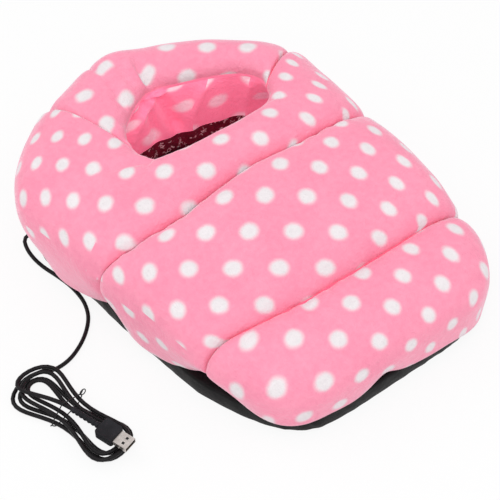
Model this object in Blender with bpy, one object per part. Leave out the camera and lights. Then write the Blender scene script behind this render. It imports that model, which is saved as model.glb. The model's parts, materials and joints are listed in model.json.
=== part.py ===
"""Electric foot warmer: a stuffed fleece boot for two feet on a black sole, heated by a
pad in its floor and fed by a thin lead with a flat plug.

Metres, +Z up. The toe points along -Y and the heel along +Y. The origin is at the bottom
centre of the warmer, without its lead. The upper is four stuffed channels, each with a
cover outside, wadding in the middle and a lining inside: toe, instep, throat and heel.
"""
import math

import bmesh
import bpy
import numpy as np
from mathutils import Matrix, Vector

# Driving sizes of the body, seen from above
body_length = 0.3835
body_width = 0.300
heel_reach = 0.105            # from the widest line back to the heel
toe_squareness = 6.2          # superellipse powers of the two ends
heel_squareness = 1.7
toe_width_share = 0.828       # width left at the toe
taper_power = 1.3
lean_share = -0.0994          # the stuffed body leans: x moves by this share of y

# Cross seams and the opening, before the lean
toe_channel = 0.08025         # from the toe back to the first seam
throat_channel = 0.08075      # from the second seam back to the widest line
corner_cut = 0.045            # a seam's first stitch, from the side of the body
rim_x = 0.0215
rim_back = 0.00225            # from the widest line back to the middle of the opening
rim_half_width = 0.066
rim_half_depth = 0.031
throat_roll = 0.028           # how far the roll reaches back from the rim seam

# Heights above the floor
sole_height = 0.0170
hem_height = 0.0175
toe_height = 0.076
toe_seam_height = 0.066
instep_height = 0.099
instep_seam_height = 0.088
throat_height = 0.105
collar_height = 0.1075
rim_height = 0.092
lining_foot_height = 0.0180
toe_ceiling = 0.040
ceiling_sag = 0.011
collar_run = 0.100            # from the instep seam back to where the collar is highest

# Insets of the outlines under the body: (toe, side, heel)
sole_inset = (0.003, 0.014, 0.020)
hem_inset = (0.0045, 0.0155, 0.0215)
cavity_inset = (0.036, 0.040, 0.071)

# How far in from the side the crown starts, by the way it faces
toe_shoulder = 0.055
corner_shoulder = 0.080
side_shoulder = 0.095
wing_shoulder = 0.060
heel_shoulder = 0.036
lining_shoulder = 0.045
bulge_share = 0.45            # height of the widest line, as a share of the crown
crown_power = 2.3

# Cloth and clearances
cover_thickness = 0.0015
lining_thickness = 0.0012
stitched_wadding = 0.0012     # what is left of the wadding in a seam
layer_gap = 0.0003
seam_gap = 0.0006
rim_open = 0.0028             # from the cover's end down to the lining's end, at the rim
touch_gap = 0.0003

# Sole and footbed
sole_cloth = 0.0012
sole_edge_radius = 0.003
foam_thickness = 0.0098
insole_thickness = 0.0010
pad_margin = 0.0035           # from the lining's foot to the pad's edge
pad_base_thickness = 0.0015
pad_height = 0.0240           # top of the plush, above the floor
pocket_depth = 0.0024
pocket_rim = 0.006
plush_edge_share = 1 / 3      # of the plush over the pocket, rounded off at the edge

# Heating wire, cut-out and crimps in the pad's pocket
wire_diameter = 0.0014
wire_runs = 12
wire_span_share = 0.934       # of the pocket's width at the toe
wire_margin = 0.002           # from the bends to the pocket's wall
wire_front = 0.01675          # from the runs' rear ends to the widest line
wire_return_share = 0.5      # of the room behind the widest line, back to the return
return_end_x = -0.030
cutout_size = (0.0045, 0.0110, 0.0020)
crimp_diameter = 0.0020
crimp_length = 0.0060

# Lead, outlet sleeve, hank and tie
cord_diameter = 0.0035
outlet_back = 0.0203          # from the widest line back to where the lead leaves the sole
outlet_length = 0.0085
outlet_proud = 0.0015
outlet_taper_share = 0.8      # length of the sleeve before it tapers
outlet_diameter = 0.0044
outlet_clearance = 0.0004
lead_height = 0.0146
lead_gap = 0.0006             # from the lead's inner end to the pad's edge
lead_points = 9
hank_place = (-0.2032, -0.0648)
hank_heading = math.radians(-71.5)
hank_loops = 2                # loops in each of the two layers
hank_start = math.radians(158.0)
hank_end = math.radians(270.0)
points_per_loop = 24
inner_half_length = 0.0455
loop_step_length = 0.0046
inner_belly = 0.0196
loop_step_belly = 0.0051
waist_first = 0.0033
waist_step = 0.0050
layer_rise = 0.0048
top_rise = 0.0064
layer_turn = math.radians(-7.4)
climb_start_share = 0.72      # half turns: where the climb starts before the spiral reverses,
climb_share = 1.18            # how long it is, where the layer has begun to turn, and how
turn_lead_share = 0.52        # long the last stretch to the waist is
final_share = 0.79
final_belly_share = 0.50      # belly left at the end of that stretch
tie_diameter = 0.0010
tie_place = -0.0065
tie_clearance = 0.0007
tie_floor_gap = 0.0001
tie_points = 32

# Plug: a flat plug with a ribbed relief, lying on the hank
relief_length = 0.0285
relief_diameter = 0.0052
relief_groove = 0.0042
relief_ribs = 7
plug_body_size = (0.0165, 0.0158, 0.0078)
plug_edge = 0.0012
shell_size = (0.0125, 0.0120, 0.0045)
shell_wall = 0.0004
shell_hole = 0.0022
shell_hole_pitch = 0.0050
shell_hole_setback = 0.0050
tongue_size = (0.0110, 0.0108, 0.0018)
contact_size = (0.0080, 0.0010, 0.0002)
contact_pitch = 0.0025

# Counts
columns_across = 16
toe_spread_share = 0.35       # how much closer columns lie at the ends of a row
row_spread_share = 0.6
wing_columns = 5
heel_columns = 12
ring_points = 48
toe_shares = (0.0, 0.06, 0.20, 0.42, 0.66, 0.86, 0.97, 1.0)
instep_shares = (0.0, 0.03, 0.14, 0.32, 0.55, 0.78, 0.94, 1.0)
rim_shares = (0.0, 0.07, 0.20, 0.36, 0.54, 0.72, 0.87, 0.96, 1.0)
hem_shares = (0.0, 0.30)      # rows under the widest line, as shares of its height
flat_cell_share = 1e-6        # a cell this small beside the largest has no direction
corner_share = 0.2            # walls this unlike each other meet in a corner

widest_y = body_length / 2 - heel_reach
toe_seam_y = toe_channel - body_length / 2
instep_seam_y = widest_y - throat_channel
rim_y = widest_y + rim_back
wire_back_y = widest_y - wire_front
wire_room = heel_reach - (cavity_inset[2] + pad_margin + pocket_rim + wire_margin)
return_y = widest_y + wire_room * wire_return_share
outlet_y = widest_y + outlet_back
seam_thickness = cover_thickness + lining_thickness + stitched_wadding + 2 * layer_gap
hank_lift = tie_diameter + tie_clearance + tie_floor_gap      # room for the tie under the loops


def clear_scene():
    for old in list(bpy.data.objects):
        bpy.data.objects.remove(old, do_unlink=True)


def material(name, colour, roughness, metallic=0.0):
    made = bpy.data.materials.new(name)
    made.use_nodes = True
    shader = made.node_tree.nodes["Principled BSDF"]
    shader.inputs["Base Color"].default_value = (*colour, 1.0)
    shader.inputs["Roughness"].default_value = roughness
    shader.inputs["Metallic"].default_value = metallic
    return made


# Outline of the body from above

def reach(way, inset=(0.0, 0.0, 0.0)):
    """Half lengths of an outline that is drawn in: (half width, toward this end)."""
    toe, side, heel = inset
    to_toe = body_length / 2 + widest_y - toe
    to_heel = heel_reach - heel
    return body_width / 2 - side, to_toe if way < 0 else to_heel


def taper(y):
    to_toe = body_length / 2 + widest_y
    return 1 - (1 - toe_width_share) * min(max((widest_y - y) / to_toe, 0.0), 1.0) ** taper_power


def outline(angle, inset=(0.0, 0.0, 0.0)):
    """Point of the outline in the direction of an angle round the opening."""
    half_width, half_length = reach(math.sin(angle), inset)
    power = toe_squareness if math.sin(angle) < 0 else heel_squareness
    across = abs(math.cos(angle)) / half_width
    along = abs(math.sin(angle)) / half_length
    distance = (across ** power + along ** power) ** (-1 / power)
    y = widest_y + distance * math.sin(angle)
    return np.array([distance * math.cos(angle) * taper(y), y])


def side_angle(y, side, inset=(0.0, 0.0, 0.0)):
    """Angle at which the left (-1) or right (1) side of an outline has this y."""
    half_width, half_length = reach(y - widest_y, inset)
    power = toe_squareness if y < widest_y else heel_squareness
    x = half_width * (1 - abs((y - widest_y) / half_length) ** power) ** (1 / power)
    return math.atan2(y - widest_y, side * x) % math.tau


def angle_at(turn, inset=(0.0, 0.0, 0.0)):
    """Direction of the point that lies at this turn when an outline is made as wide as long."""
    half_width, half_length = reach(math.sin(turn), inset)
    return turn + math.remainder(
        math.atan2(half_length * math.sin(turn), half_width * math.cos(turn)) - turn, math.tau)


def depth_inside(x, y, inset=(0.0, 0.0, 0.0)):
    """How far in from an outline a point lies, and its angle round the opening."""
    angle = math.atan2(y - widest_y, x / taper(y))
    edge = outline(angle, inset)
    full = math.hypot(edge[0] / taper(edge[1]), edge[1] - widest_y)
    here = math.hypot(x / taper(y), y - widest_y)
    return max(full - here, 0.0), angle % math.tau


def shoulder(angle):
    """Distance from the widest line in to the crown, by direction."""
    turns = [math.radians(a) for a in (0, 45, 90, 135, 180, 215, 240, 270, 300, 325, 360)]
    mean = (wing_shoulder + heel_shoulder) / 2
    widths = [wing_shoulder, mean, heel_shoulder, mean, wing_shoulder, side_shoulder,
              corner_shoulder, toe_shoulder, corner_shoulder, side_shoulder, wing_shoulder]
    return float(np.interp(angle, turns, widths))


# Heights of the crown and of the ceiling inside

def rise(share):
    share = min(max(share, 0.0), 1.0)
    return (1 - (1 - share) ** crown_power) ** (1 / crown_power)


def swell(share):
    """A puff between two seams: nothing at both ends and 1 in the middle."""
    return rise(1 - abs(2 * share - 1))


def crown(y):
    if y < toe_seam_y:
        share = (toe_seam_y - y) / (body_length / 2 + toe_seam_y)
        return toe_seam_height + (toe_height - toe_seam_height) * rise(2 * share)
    if y < instep_seam_y:
        share = (y - toe_seam_y) / (instep_seam_y - toe_seam_y)
        level = toe_seam_height + (instep_seam_height - toe_seam_height) * share
        puff = instep_height - (toe_seam_height + instep_seam_height) / 2
        return level + puff * swell(share)
    back = y - instep_seam_y
    puff = (throat_height - instep_seam_height) * rise(back / throat_roll)
    climb = (collar_height - throat_height) * min(back / collar_run, 1.0)
    return instep_seam_height + puff + climb


def cover_height(x, y):
    depth, angle = depth_inside(x, y)
    top = crown(y)
    widest = hem_height + bulge_share * (top - hem_height)
    return widest + (top - widest) * rise(depth / shoulder(angle))


def ceiling(y):
    if y < toe_seam_y:
        share = (toe_seam_y - y) / (body_length / 2 + toe_seam_y)
        return toe_seam_height - seam_thickness - (toe_seam_height - toe_ceiling) * rise(share)
    share = min((y - toe_seam_y) / (instep_seam_y - toe_seam_y), 1.0)
    level = toe_seam_height + (instep_seam_height - toe_seam_height) * share
    return level - seam_thickness - ceiling_sag * swell(share)


def lining_height(x, y):
    depth, angle = depth_inside(x, y, cavity_inset)
    top = ceiling(y)
    widest = lining_foot_height + bulge_share * (top - lining_foot_height)
    return widest + (top - widest) * rise(depth / lining_shoulder)


def rim_point(angle):
    return np.array([rim_x + rim_half_width * math.cos(angle),
                     rim_y + rim_half_depth * math.sin(angle)])


# Grids of points. Each channel has a grid for its cover and one for its lining, with the
# same rows and columns, so that the layers between them are found point by point.

def hem_rows(angle_of, inset, widest, foot):
    """Rows from the foot of a wall to just under its widest line."""
    rows = []
    for share in hem_shares:
        drawn = tuple(i * (1 - share) ** 2 for i in inset)
        x, y = outline(angle_of(drawn), drawn)
        rows.append(np.array([x, y, foot + (widest - foot) * share]))
    return rows


def wall_rows(angle_of, inner):
    """Foot and widest point of the cover or the lining where a column starts."""
    if inner:
        x, y = outline(angle_of(cavity_inset), cavity_inset)
        top = ceiling(min(y, instep_seam_y))
        foot = lining_foot_height
        widest = foot + bulge_share * (top - foot)
        rows = [np.array([x, y, foot + (widest - foot) * s]) for s in hem_shares]
    else:
        x, y = outline(angle_of((0.0, 0.0, 0.0)))
        foot = hem_height
        widest = foot + bulge_share * (crown(y) - foot)
        rows = hem_rows(angle_of, hem_inset, widest, foot)
    return rows + [np.array([x, y, widest])]


def spread(count, power):
    """Shares from 0 to 1, closer together at both ends."""
    even = np.linspace(0, 1, count + 1)
    return power * (1 - np.cos(even * math.pi)) / 2 + (1 - power) * even


def seam_points(y, inner):
    """Plan points across a cross seam, from the left side to the right."""
    inset = cavity_inset if inner else (0.0, 0.0, 0.0)
    left = outline(side_angle(y, -1, inset), inset)[0]
    right = outline(side_angle(y, 1, inset), inset)[0]
    return left, right


def evened(shares, length):
    """Shares of a column, evened out where the column is short."""
    even = np.linspace(0, 1, len(shares))
    short = max(1 - length / body_width, 0.0)
    return even * short + np.array(shares) * (1 - short)


def column_angle(start_of, end_of, share):
    """Angle of a column on any inset outline, between two ends that stay on their seams."""
    def angle_of(inset):
        start, end = start_of(inset), end_of(inset)
        return start + (end - start) * share
    return angle_of


def toe_grid(inner):
    y = toe_seam_y - seam_gap / 2
    left, right = seam_points(y, inner)
    columns = []
    for share in spread(columns_across, toe_spread_share):
        angle_of = column_angle(lambda i: side_angle(y, -1, i), lambda i: side_angle(y, 1, i), share)
        column = wall_rows(angle_of, inner)
        start = column[-1][:2]
        target = np.array([left + corner_cut + (right - left - 2 * corner_cut) * share, y])
        for along in evened(toe_shares, np.linalg.norm(target - start))[1:]:
            px, py = start + (target - start) * along
            height = lining_height(px, py) if inner else cover_height(px, py)
            column.append(np.array([px, py, height]))
        columns.append(column)
    return np.array(columns)


def instep_grid(inner):
    start = toe_seam_y + seam_gap / 2
    end = instep_seam_y - seam_gap / 2
    columns = []
    for along in instep_shares:
        y = start + (end - start) * along
        left, right = seam_points(y, inner)
        walls = [wall_rows(lambda i, s=side: side_angle(y, s, i), inner) for side in (-1, 1)]
        middle = []
        for share in spread(columns_across, row_spread_share)[1:-1]:
            x = left + (right - left) * share
            height = lining_height(x, y) if inner else cover_height(x, y)
            middle.append(np.array([x, y, height]))
        columns.append(walls[0] + middle + walls[1][::-1])
    return np.array(columns)


def rolled(start, target, share, roll, foot_height, inner, flat):
    """Point of a column that runs from the edge of the body to the rim of the opening."""
    plan = start[:2] + (target - start[:2]) * share
    length = float(np.linalg.norm(target - start[:2]))
    if inner:
        end = rim_height - rim_open
        steep = (1 - flat) * length / (length + end - foot_height)
        bent = rise(share) * steep + share * (1 - steep)
        height = foot_height + (end - foot_height) * bent - ceiling_sag * flat * swell(share)
    else:
        height = rim_height + (cover_height(*plan) - rim_height) * rise((1 - share) * length / roll)
    return np.array([*plan, height])


def collar_columns(spans, inner):
    """Columns of the throat or the heel: (plan start, walls, rim angle, roll, flatness)."""
    columns = []
    for walls, start, rim_angle, flat in spans:
        target = rim_point(rim_angle)
        length = float(np.linalg.norm(target - start[:2]))
        roll = throat_roll * flat + length / 2 * (1 - flat)
        column = list(walls)
        for share in rim_shares[1:]:
            column.append(rolled(start, target, share, roll, start[2], inner, flat))
        columns.append(column)
    return np.array(columns)


# Where the two collar seams leave the cover's and the lining's outline, as turns round an
# outline made as wide as it is long, and where they reach the rim
left_seam_edge = math.radians(145.0)
right_seam_edge = math.radians(11.0)
left_seam_foot = math.radians(176.0)
right_seam_foot = math.radians(2.0)
left_seam_rim = math.radians(204.0)
right_seam_rim = math.radians(335.0)
front_rim_left = math.radians(228.0)
front_rim_right = math.radians(310.0)


def throat_grid(inner):
    """From the left collar seam round the front of the opening to the right one."""
    y = instep_seam_y + seam_gap / 2
    lag = seam_gap / rim_half_width
    left_edge = (left_seam_foot if inner else left_seam_edge) + lag
    right_edge = (right_seam_foot if inner else right_seam_edge) - lag
    spans = []
    for share in np.linspace(0, 1, wing_columns + 1):
        angle_of = column_angle(lambda i: angle_at(left_edge, i), lambda i: side_angle(y, -1, i), share)
        walls = wall_rows(angle_of, inner)
        first = left_seam_rim + 2 * lag
        rim_angle = first + (front_rim_left - first) * share
        spans.append((walls, walls[-1], rim_angle, 0.0))
    left, right = seam_points(y, inner)
    for share in spread(columns_across, row_spread_share)[1:-1]:
        x = left + (right - left) * share
        height = lining_height(x, y) if inner else cover_height(x, y)
        start = np.array([x, y, height])
        rim_angle = front_rim_left + (front_rim_right - front_rim_left) * share
        spans.append(([start] * (len(hem_shares) + 1), start, rim_angle, swell(share)))
    for share in np.linspace(0, 1, wing_columns + 1):
        angle_of = column_angle(lambda i: side_angle(y, 1, i) - math.tau,
                                lambda i: angle_at(right_edge, i), share)
        walls = wall_rows(angle_of, inner)
        last = right_seam_rim - 2 * lag
        rim_angle = front_rim_right + (last - front_rim_right) * share
        spans.append((walls, walls[-1], rim_angle, 0.0))
    return collar_columns(spans, inner)


def heel_grid(inner):
    """From the right collar seam round the back to the left one."""
    right_edge = right_seam_foot if inner else right_seam_edge
    left_edge = left_seam_foot if inner else left_seam_edge
    spans = []
    for share in np.linspace(0, 1, heel_columns + 1):
        turn = right_edge + (left_edge - right_edge) * share
        angle_of = column_angle(lambda i: angle_at(turn, i), lambda i: angle_at(turn, i), 0.0)
        walls = wall_rows(angle_of, inner)
        rim_angle = right_seam_rim - math.tau + (left_seam_rim - right_seam_rim + math.tau) * share
        spans.append((walls, walls[-1], rim_angle, 0.0))
    return collar_columns(spans, inner)


def lean(points):
    """Lean the stuffed body and centre it over the origin."""
    moved = np.array(points, dtype=float)
    moved[..., 0] += lean_share * moved[..., 1] - lean_middle()
    return moved


def lean_middle():
    edge = [outline(a) for a in np.linspace(0, math.tau, 8 * ring_points)]
    across = [x + lean_share * y for x, y in edge]
    return (min(across) + max(across)) / 2


# Solids

def solid(name, corners, faces, finish):
    """Closed mesh from points and faces, faces turned outwards."""
    mesh = bpy.data.meshes.new(name)
    mesh.from_pydata([tuple(c) for c in corners], [], faces)
    work = bmesh.new()
    work.from_mesh(mesh)
    loose = [v for v in work.verts if not v.link_faces]
    bmesh.ops.delete(work, geom=loose, context="VERTS")
    bmesh.ops.recalc_face_normals(work, faces=work.faces)
    if work.calc_volume(signed=True) < 0:      # a thin shell can be turned the wrong way
        bmesh.ops.reverse_faces(work, faces=work.faces)
    work.to_mesh(mesh)
    work.free()
    mesh.shade_smooth()
    mesh.set_sharp_from_angle(angle=math.radians(50))
    made = bpy.data.objects.new(name, mesh)
    bpy.context.collection.objects.link(made)
    mesh.materials.append(finish)
    return made


def shorter_diagonals(grid):
    """For each cell of a grid, whether its first diagonal is the shorter one."""
    first = np.linalg.norm(grid[1:, 1:] - grid[:-1, :-1], axis=-1)
    second = np.linalg.norm(grid[1:, :-1] - grid[:-1, 1:], axis=-1)
    return first <= second


def cell_corners(c, r, rows):
    return c * rows + r, (c + 1) * rows + r, (c + 1) * rows + r + 1, c * rows + r + 1


def border(count, rows, keep):
    """Edges that only one kept cell has."""
    edges = {}
    for c in range(count - 1):
        for r in range(rows - 1):
            if keep(c, r):
                corners = cell_corners(c, r, rows)
                for edge in zip(corners, corners[1:] + corners[:1]):
                    key = tuple(sorted(edge))
                    edges[key] = None if key in edges else edge
    return [edge for edge in edges.values() if edge]


def layer(name, outer, inner, keep, diagonals, finish):
    """Solid between two grids. keep tells which cells hold cloth, and all the layers of a
    channel split their cells along the same diagonals, so that they stay parallel."""
    count, rows = outer.shape[:2]
    total = count * rows
    corners = np.concatenate([outer.reshape(-1, 3), inner.reshape(-1, 3)])
    faces = []
    for c in range(count - 1):
        for r in range(rows - 1):
            if not keep(c, r):
                continue
            a, b, d, e = cell_corners(c, r, rows)
            halves = ((a, b, d), (a, d, e)) if diagonals[c, r] else ((a, b, e), (b, d, e))
            for half in halves:
                faces.append(half)
                faces.append(tuple(i + total for i in half[::-1]))
    for a, b in border(count, rows, keep):
        c, d = a + total, b + total
        along = np.linalg.norm(corners[a] - corners[d])
        across = np.linalg.norm(corners[b] - corners[c])
        faces += [(b, a, d), (a, c, d)] if along <= across else [(b, a, c), (b, c, d)]
    return solid(name, corners, faces, finish)


def facing(grid, way):
    """Unit normals of a grid, all on the side that the way vectors point to."""
    normals = np.cross(np.gradient(grid, axis=0), np.gradient(grid, axis=1))
    size = np.linalg.norm(normals, axis=-1, keepdims=True)
    flat = size < size.max() * flat_cell_share
    normals = np.where(flat, way, normals / np.where(flat, 1.0, size))
    side = np.sum(np.where(flat, 0.0, normals * way))
    return normals if side > 0 else np.where(flat, normals, -normals)


def kept_in_walls(grid, normals, way, keep, open_rim):
    """Turn the normals on a channel's borders into the walls that it shares with the next."""
    count, rows = grid.shape[:2]
    points, ways = grid.reshape(-1, 3), way.reshape(-1, 3)
    across = np.zeros((count * rows, 3, 3))
    for a, b in border(count, rows, keep):
        if open_rim and a % rows == b % rows == rows - 1:
            continue
        wall = np.cross(ways[a] + ways[b], points[b] - points[a])
        wall /= np.linalg.norm(wall)
        for end in (a, b):
            across[end] += np.outer(wall, wall)
    turned = normals.reshape(-1, 3).copy()
    for i in np.flatnonzero(np.trace(across, axis1=1, axis2=2)):
        strengths, walls = np.linalg.eigh(across[i])
        flat = turned[i] - walls[:, 2] * (walls[:, 2] @ turned[i])
        size = np.linalg.norm(flat)
        corner = strengths[1] > corner_share * strengths[2] or size < corner_share
        turned[i] = ways[i] if corner else flat / size
    return turned.reshape(grid.shape)


def stuffed_channel(name, grid, keep, open_rim, finishes):
    """Cover, wadding and lining of one channel."""
    outer, inner = lean(grid(False)), lean(grid(True))
    gap = np.linalg.norm(inner - outer, axis=-1, keepdims=True)
    way = (inner - outer) / gap
    drawn = np.clip(2 - gap / seam_thickness, 0, 1)
    if open_rim:
        lanes = outer.shape[1] - len(rim_shares)
        drawn *= 1 - np.array([0.0] * lanes + list(rim_shares))[None, :, None]
    ways = []
    for surface in (outer, inner):
        normals = facing(surface, way)
        mixed = normals * (1 - drawn) + way * drawn
        mixed /= np.linalg.norm(mixed, axis=-1, keepdims=True)
        ways.append(kept_in_walls(surface, mixed, way, keep, open_rim))
    under_cover = outer + ways[0] * cover_thickness
    top_of_fill = outer + ways[0] * (cover_thickness + layer_gap)
    foot_of_fill = inner - ways[1] * (lining_thickness + layer_gap)
    over_lining = inner - ways[1] * lining_thickness
    cells = shorter_diagonals(outer)
    layer(f"{name}_cover", outer, under_cover, keep, cells, finishes["fleece"])
    layer(f"{name}_wadding", top_of_fill, foot_of_fill, keep, cells, finishes["wadding"])
    layer(f"{name}_lining", over_lining, inner, keep, cells, finishes["lining"])


def ring(inset, height, extra=0.0):
    drawn = tuple(i + extra for i in inset)
    turns = np.arange(ring_points) / ring_points * math.tau
    return lean([(*outline(a, drawn), height) for a in turns])


def stack(name, rings, finish):
    """Closed solid through rings of equal count, capped at both ends."""
    corners = np.concatenate(rings)
    faces = [tuple(range(ring_points))[::-1]]
    for k in range(len(rings) - 1):
        for i in range(ring_points):
            j = (i + 1) % ring_points
            low, high = k * ring_points, (k + 1) * ring_points
            faces.append((low + i, low + j, high + j, high + i))
    last = (len(rings) - 1) * ring_points
    faces.append(tuple(range(last, last + ring_points)))
    return solid(name, corners, faces, finish)


def box(name, size, centre, turn, finish):
    """Box with its length along local X, set down by a turn matrix."""
    work = bmesh.new()
    bmesh.ops.create_cube(work, size=1.0)
    bmesh.ops.scale(work, vec=size, verts=work.verts)
    mesh = bpy.data.meshes.new(name)
    work.to_mesh(mesh)
    work.free()
    mesh.materials.append(finish)
    made = bpy.data.objects.new(name, mesh)
    made.matrix_world = Matrix.Translation(centre) @ turn
    bpy.context.collection.objects.link(made)
    return made


def lathe(name, profile, centre, turn, finish, sides=16):
    """Closed turned solid along local X, from (distance, radius) pairs."""
    work = bmesh.new()
    loops = []
    for along, radius in profile:
        loop = []
        for i in range(sides):
            angle = i / sides * math.tau
            loop.append(work.verts.new((along, radius * math.cos(angle), radius * math.sin(angle))))
        loops.append(loop)
    for first, second in zip(loops, loops[1:]):
        for i in range(sides):
            j = (i + 1) % sides
            work.faces.new((first[i], first[j], second[j], second[i]))
    work.faces.new(loops[0])
    work.faces.new(loops[-1])
    bmesh.ops.recalc_face_normals(work, faces=work.faces)
    mesh = bpy.data.meshes.new(name)
    work.to_mesh(mesh)
    work.free()
    mesh.shade_smooth()
    mesh.set_sharp_from_angle(angle=math.radians(40))
    mesh.materials.append(finish)
    made = bpy.data.objects.new(name, mesh)
    made.matrix_world = Matrix.Translation(centre) @ turn
    bpy.context.collection.objects.link(made)
    return made


def tube(name, points, diameter, resolution, finish, closed=False):
    curve = bpy.data.curves.new(name, "CURVE")
    curve.dimensions = "3D"
    curve.bevel_depth = diameter / 2
    curve.bevel_resolution = resolution
    curve.use_fill_caps = not closed
    spline = curve.splines.new("POLY")
    spline.points.add(len(points) - 1)
    for spot, point in zip(spline.points, points):
        spot.co = (*point, 1.0)
    spline.use_cyclic_u = closed
    curve.materials.append(finish)
    made = bpy.data.objects.new(name, curve)
    bpy.context.collection.objects.link(made)
    return made


def cut(target, cutter):
    """Cut one solid by another, which stays as a hidden guide."""
    cutter.hide_render = True
    cutter.display_type = "WIRE"
    tool = target.modifiers.new("cut", "BOOLEAN")
    tool.operation = "DIFFERENCE"
    tool.solver = "EXACT"
    tool.object = cutter


# Sole and heated footbed

def outlet_frame():
    """Where the lead leaves the sole's side: point on the wall, turn, outward direction."""
    angle = side_angle(outlet_y, -1, sole_inset)
    step = math.radians(1.0)
    before, here, after = lean([(*outline(angle + k * step, sole_inset), lead_height)
                                for k in (-1, 0, 1)])
    along = Vector(after - before).normalized()
    outward = Vector((along.y, -along.x, 0.0))
    if outward.x > 0:
        outward.negate()
    turn = Matrix.Rotation(math.atan2(outward.y, outward.x), 4, "Z")
    return Vector(here), turn, outward


def build_sole(finishes):
    flare = sole_edge_radius
    wall_top = sole_cloth + layer_gap
    rings = [ring(sole_inset, 0.0, flare / 2),
             ring(sole_inset, flare, 0.0),
             ring(sole_inset, sole_height, sole_cloth),
             ring(sole_inset, sole_height, 2 * sole_cloth),
             ring(sole_inset, flare + sole_cloth, sole_cloth),
             ring(sole_inset, sole_cloth, flare / 2 + sole_cloth)]
    cover = stack("sole_cover", rings, finishes["sole"])
    spot, turn, outward = outlet_frame()
    hole = outlet_diameter + 2 * outlet_clearance
    height = sole_height - lead_height + hole
    slot_centre = spot + Vector((0.0, 0.0, (height - hole) / 2))
    slot = box("outlet_slot", (outlet_length, hole, height), slot_centre, turn, finishes["sole"])
    cut(cover, slot)
    foam_foot = wall_top
    foam_top = foam_foot + foam_thickness
    inside = flare / 2 + 2 * sole_cloth + layer_gap
    stack("sole_foam", [ring(sole_inset, foam_foot, inside), ring(sole_inset, foam_top, inside)],
          finishes["foam"])
    return foam_top


def pad_inset(margin):
    return tuple(i + margin for i in cavity_inset)


def wire_path(height):
    """Runs up and down the pad, then back behind the runs to the crimps."""
    half_width, to_toe = reach(-1, pad_inset(pad_margin + pocket_rim + wire_margin))
    widest_run = half_width * toe_width_share
    first = -widest_run * wire_span_share
    pitch = -2 * first / (wire_runs - 1)
    half = pitch / 2
    points = []
    for run in range(wire_runs):
        x = first + run * pitch
        pair_middle = x + (half if run % 2 == 0 else -half)
        share = (abs(pair_middle) + half) / widest_run
        toe_y = widest_y - to_toe * (1 - share ** toe_squareness) ** (1 / toe_squareness) + half
        ends = (wire_back_y, toe_y) if run % 2 == 0 else (toe_y, wire_back_y)
        points += [(x, ends[0], height), (x, ends[1], height)]
        if run < wire_runs - 1:
            way = -1 if run % 2 == 0 else 1
            for turn in (45, 90, 135):
                bend = math.radians(turn)
                points.append((x + half - half * math.cos(bend),
                               ends[1] + way * half * math.sin(bend), height))
    last_x = points[-1][0]
    radius = return_y - wire_back_y
    for turn in (22.5, 45, 67.5, 90):
        bend = math.radians(turn)
        points.append((last_x - radius + radius * math.cos(bend),
                       wire_back_y + radius * math.sin(bend), height))
    points.append((return_end_x, return_y, height))
    return points, first


def build_footbed(floor, finishes):
    sheet_foot = floor + layer_gap
    sheet_top = sheet_foot + insole_thickness
    edge = pad_inset(-pad_margin)
    stack("insole_sheet", [ring(edge, sheet_foot), ring(edge, sheet_top)], finishes["lining"])
    base_foot = sheet_top + layer_gap
    base_top = base_foot + pad_base_thickness
    edge = pad_inset(pad_margin)
    stack("pad_base", [ring(edge, base_foot), ring(edge, base_top)], finishes["felt"])
    pocket_foot = base_top + layer_gap
    pocket_top = pocket_foot + pocket_depth
    pocket = pad_inset(pad_margin + pocket_rim)
    crown_in = pocket_rim / 2
    soft = pad_height - (pad_height - pocket_top) * plush_edge_share
    rings = [ring(pocket, pocket_top), ring(pocket, pocket_foot), ring(edge, pocket_foot),
             ring(edge, soft), ring(edge, pad_height, crown_in)]
    stack("pad_plush", rings, finishes["plush"])
    wire_height = pocket_foot + wire_diameter / 2
    points, first = wire_path(wire_height)
    tube("heating_wire", lean(points), wire_diameter, 1, finishes["wire"])
    cut_height = pocket_foot + cutout_size[2] / 2
    cut_y = wire_back_y + touch_gap + cutout_size[1] / 2
    spots = lean([(first, cut_y, cut_height),
                  (first, cut_y + cutout_size[1] / 2 + touch_gap, pocket_foot + crimp_diameter / 2),
                  (return_end_x - touch_gap, return_y, pocket_foot + crimp_diameter / 2)])
    flat = Matrix.Identity(4)
    cutout = box("thermal_cutout", cutout_size, spots[0], flat, finishes["metal"])
    bevel = cutout.modifiers.new("edges", "BEVEL")
    bevel.width = cutout_size[2] / 4
    radius = crimp_diameter / 2
    back = Matrix.Rotation(math.radians(90), 4, "Z")
    sleeve = [(0.0, radius), (crimp_length, radius)]
    lathe("crimp_front", sleeve, spots[1], back, finishes["metal"], 10)
    away = Matrix.Rotation(math.radians(180), 4, "Z")
    lathe("crimp_back", sleeve, spots[2], away, finishes["metal"], 10)


def build_outlet(finishes):
    """Sleeve in the sole's wall and the inner end of the lead, up to the pad."""
    spot, turn, outward = outlet_frame()
    radius = outlet_diameter / 2
    start = spot + outward * (outlet_proud - outlet_length)
    profile = [(0.0, radius), (outlet_length * outlet_taper_share, radius),
               (outlet_length, (radius + cord_diameter / 2) / 2)]
    lathe("cord_outlet", profile, start, turn, finishes["rubber"], 14)
    edge = pad_inset(pad_margin)
    pad_edge = lean([(*outline(side_angle(rim_y, -1, edge), edge), lead_height)])[0]
    left = Vector((-1.0, 0.0, 0.0))
    inner_start = start - outward * touch_gap
    inner_end = Vector(pad_edge) + left * lead_gap
    straight = cord_diameter * 2
    first, last = inner_start - outward * cord_diameter, inner_end + left * cord_diameter
    bend = [first, first - outward * straight, last + left * straight, last]
    points = [bezier(bend, t) for t in np.linspace(0, 1, lead_points)]
    tube("pad_lead", [inner_start] + points + [inner_end], cord_diameter, 2, finishes["cord"])
    return spot + outward * (outlet_proud + touch_gap), outward


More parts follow.
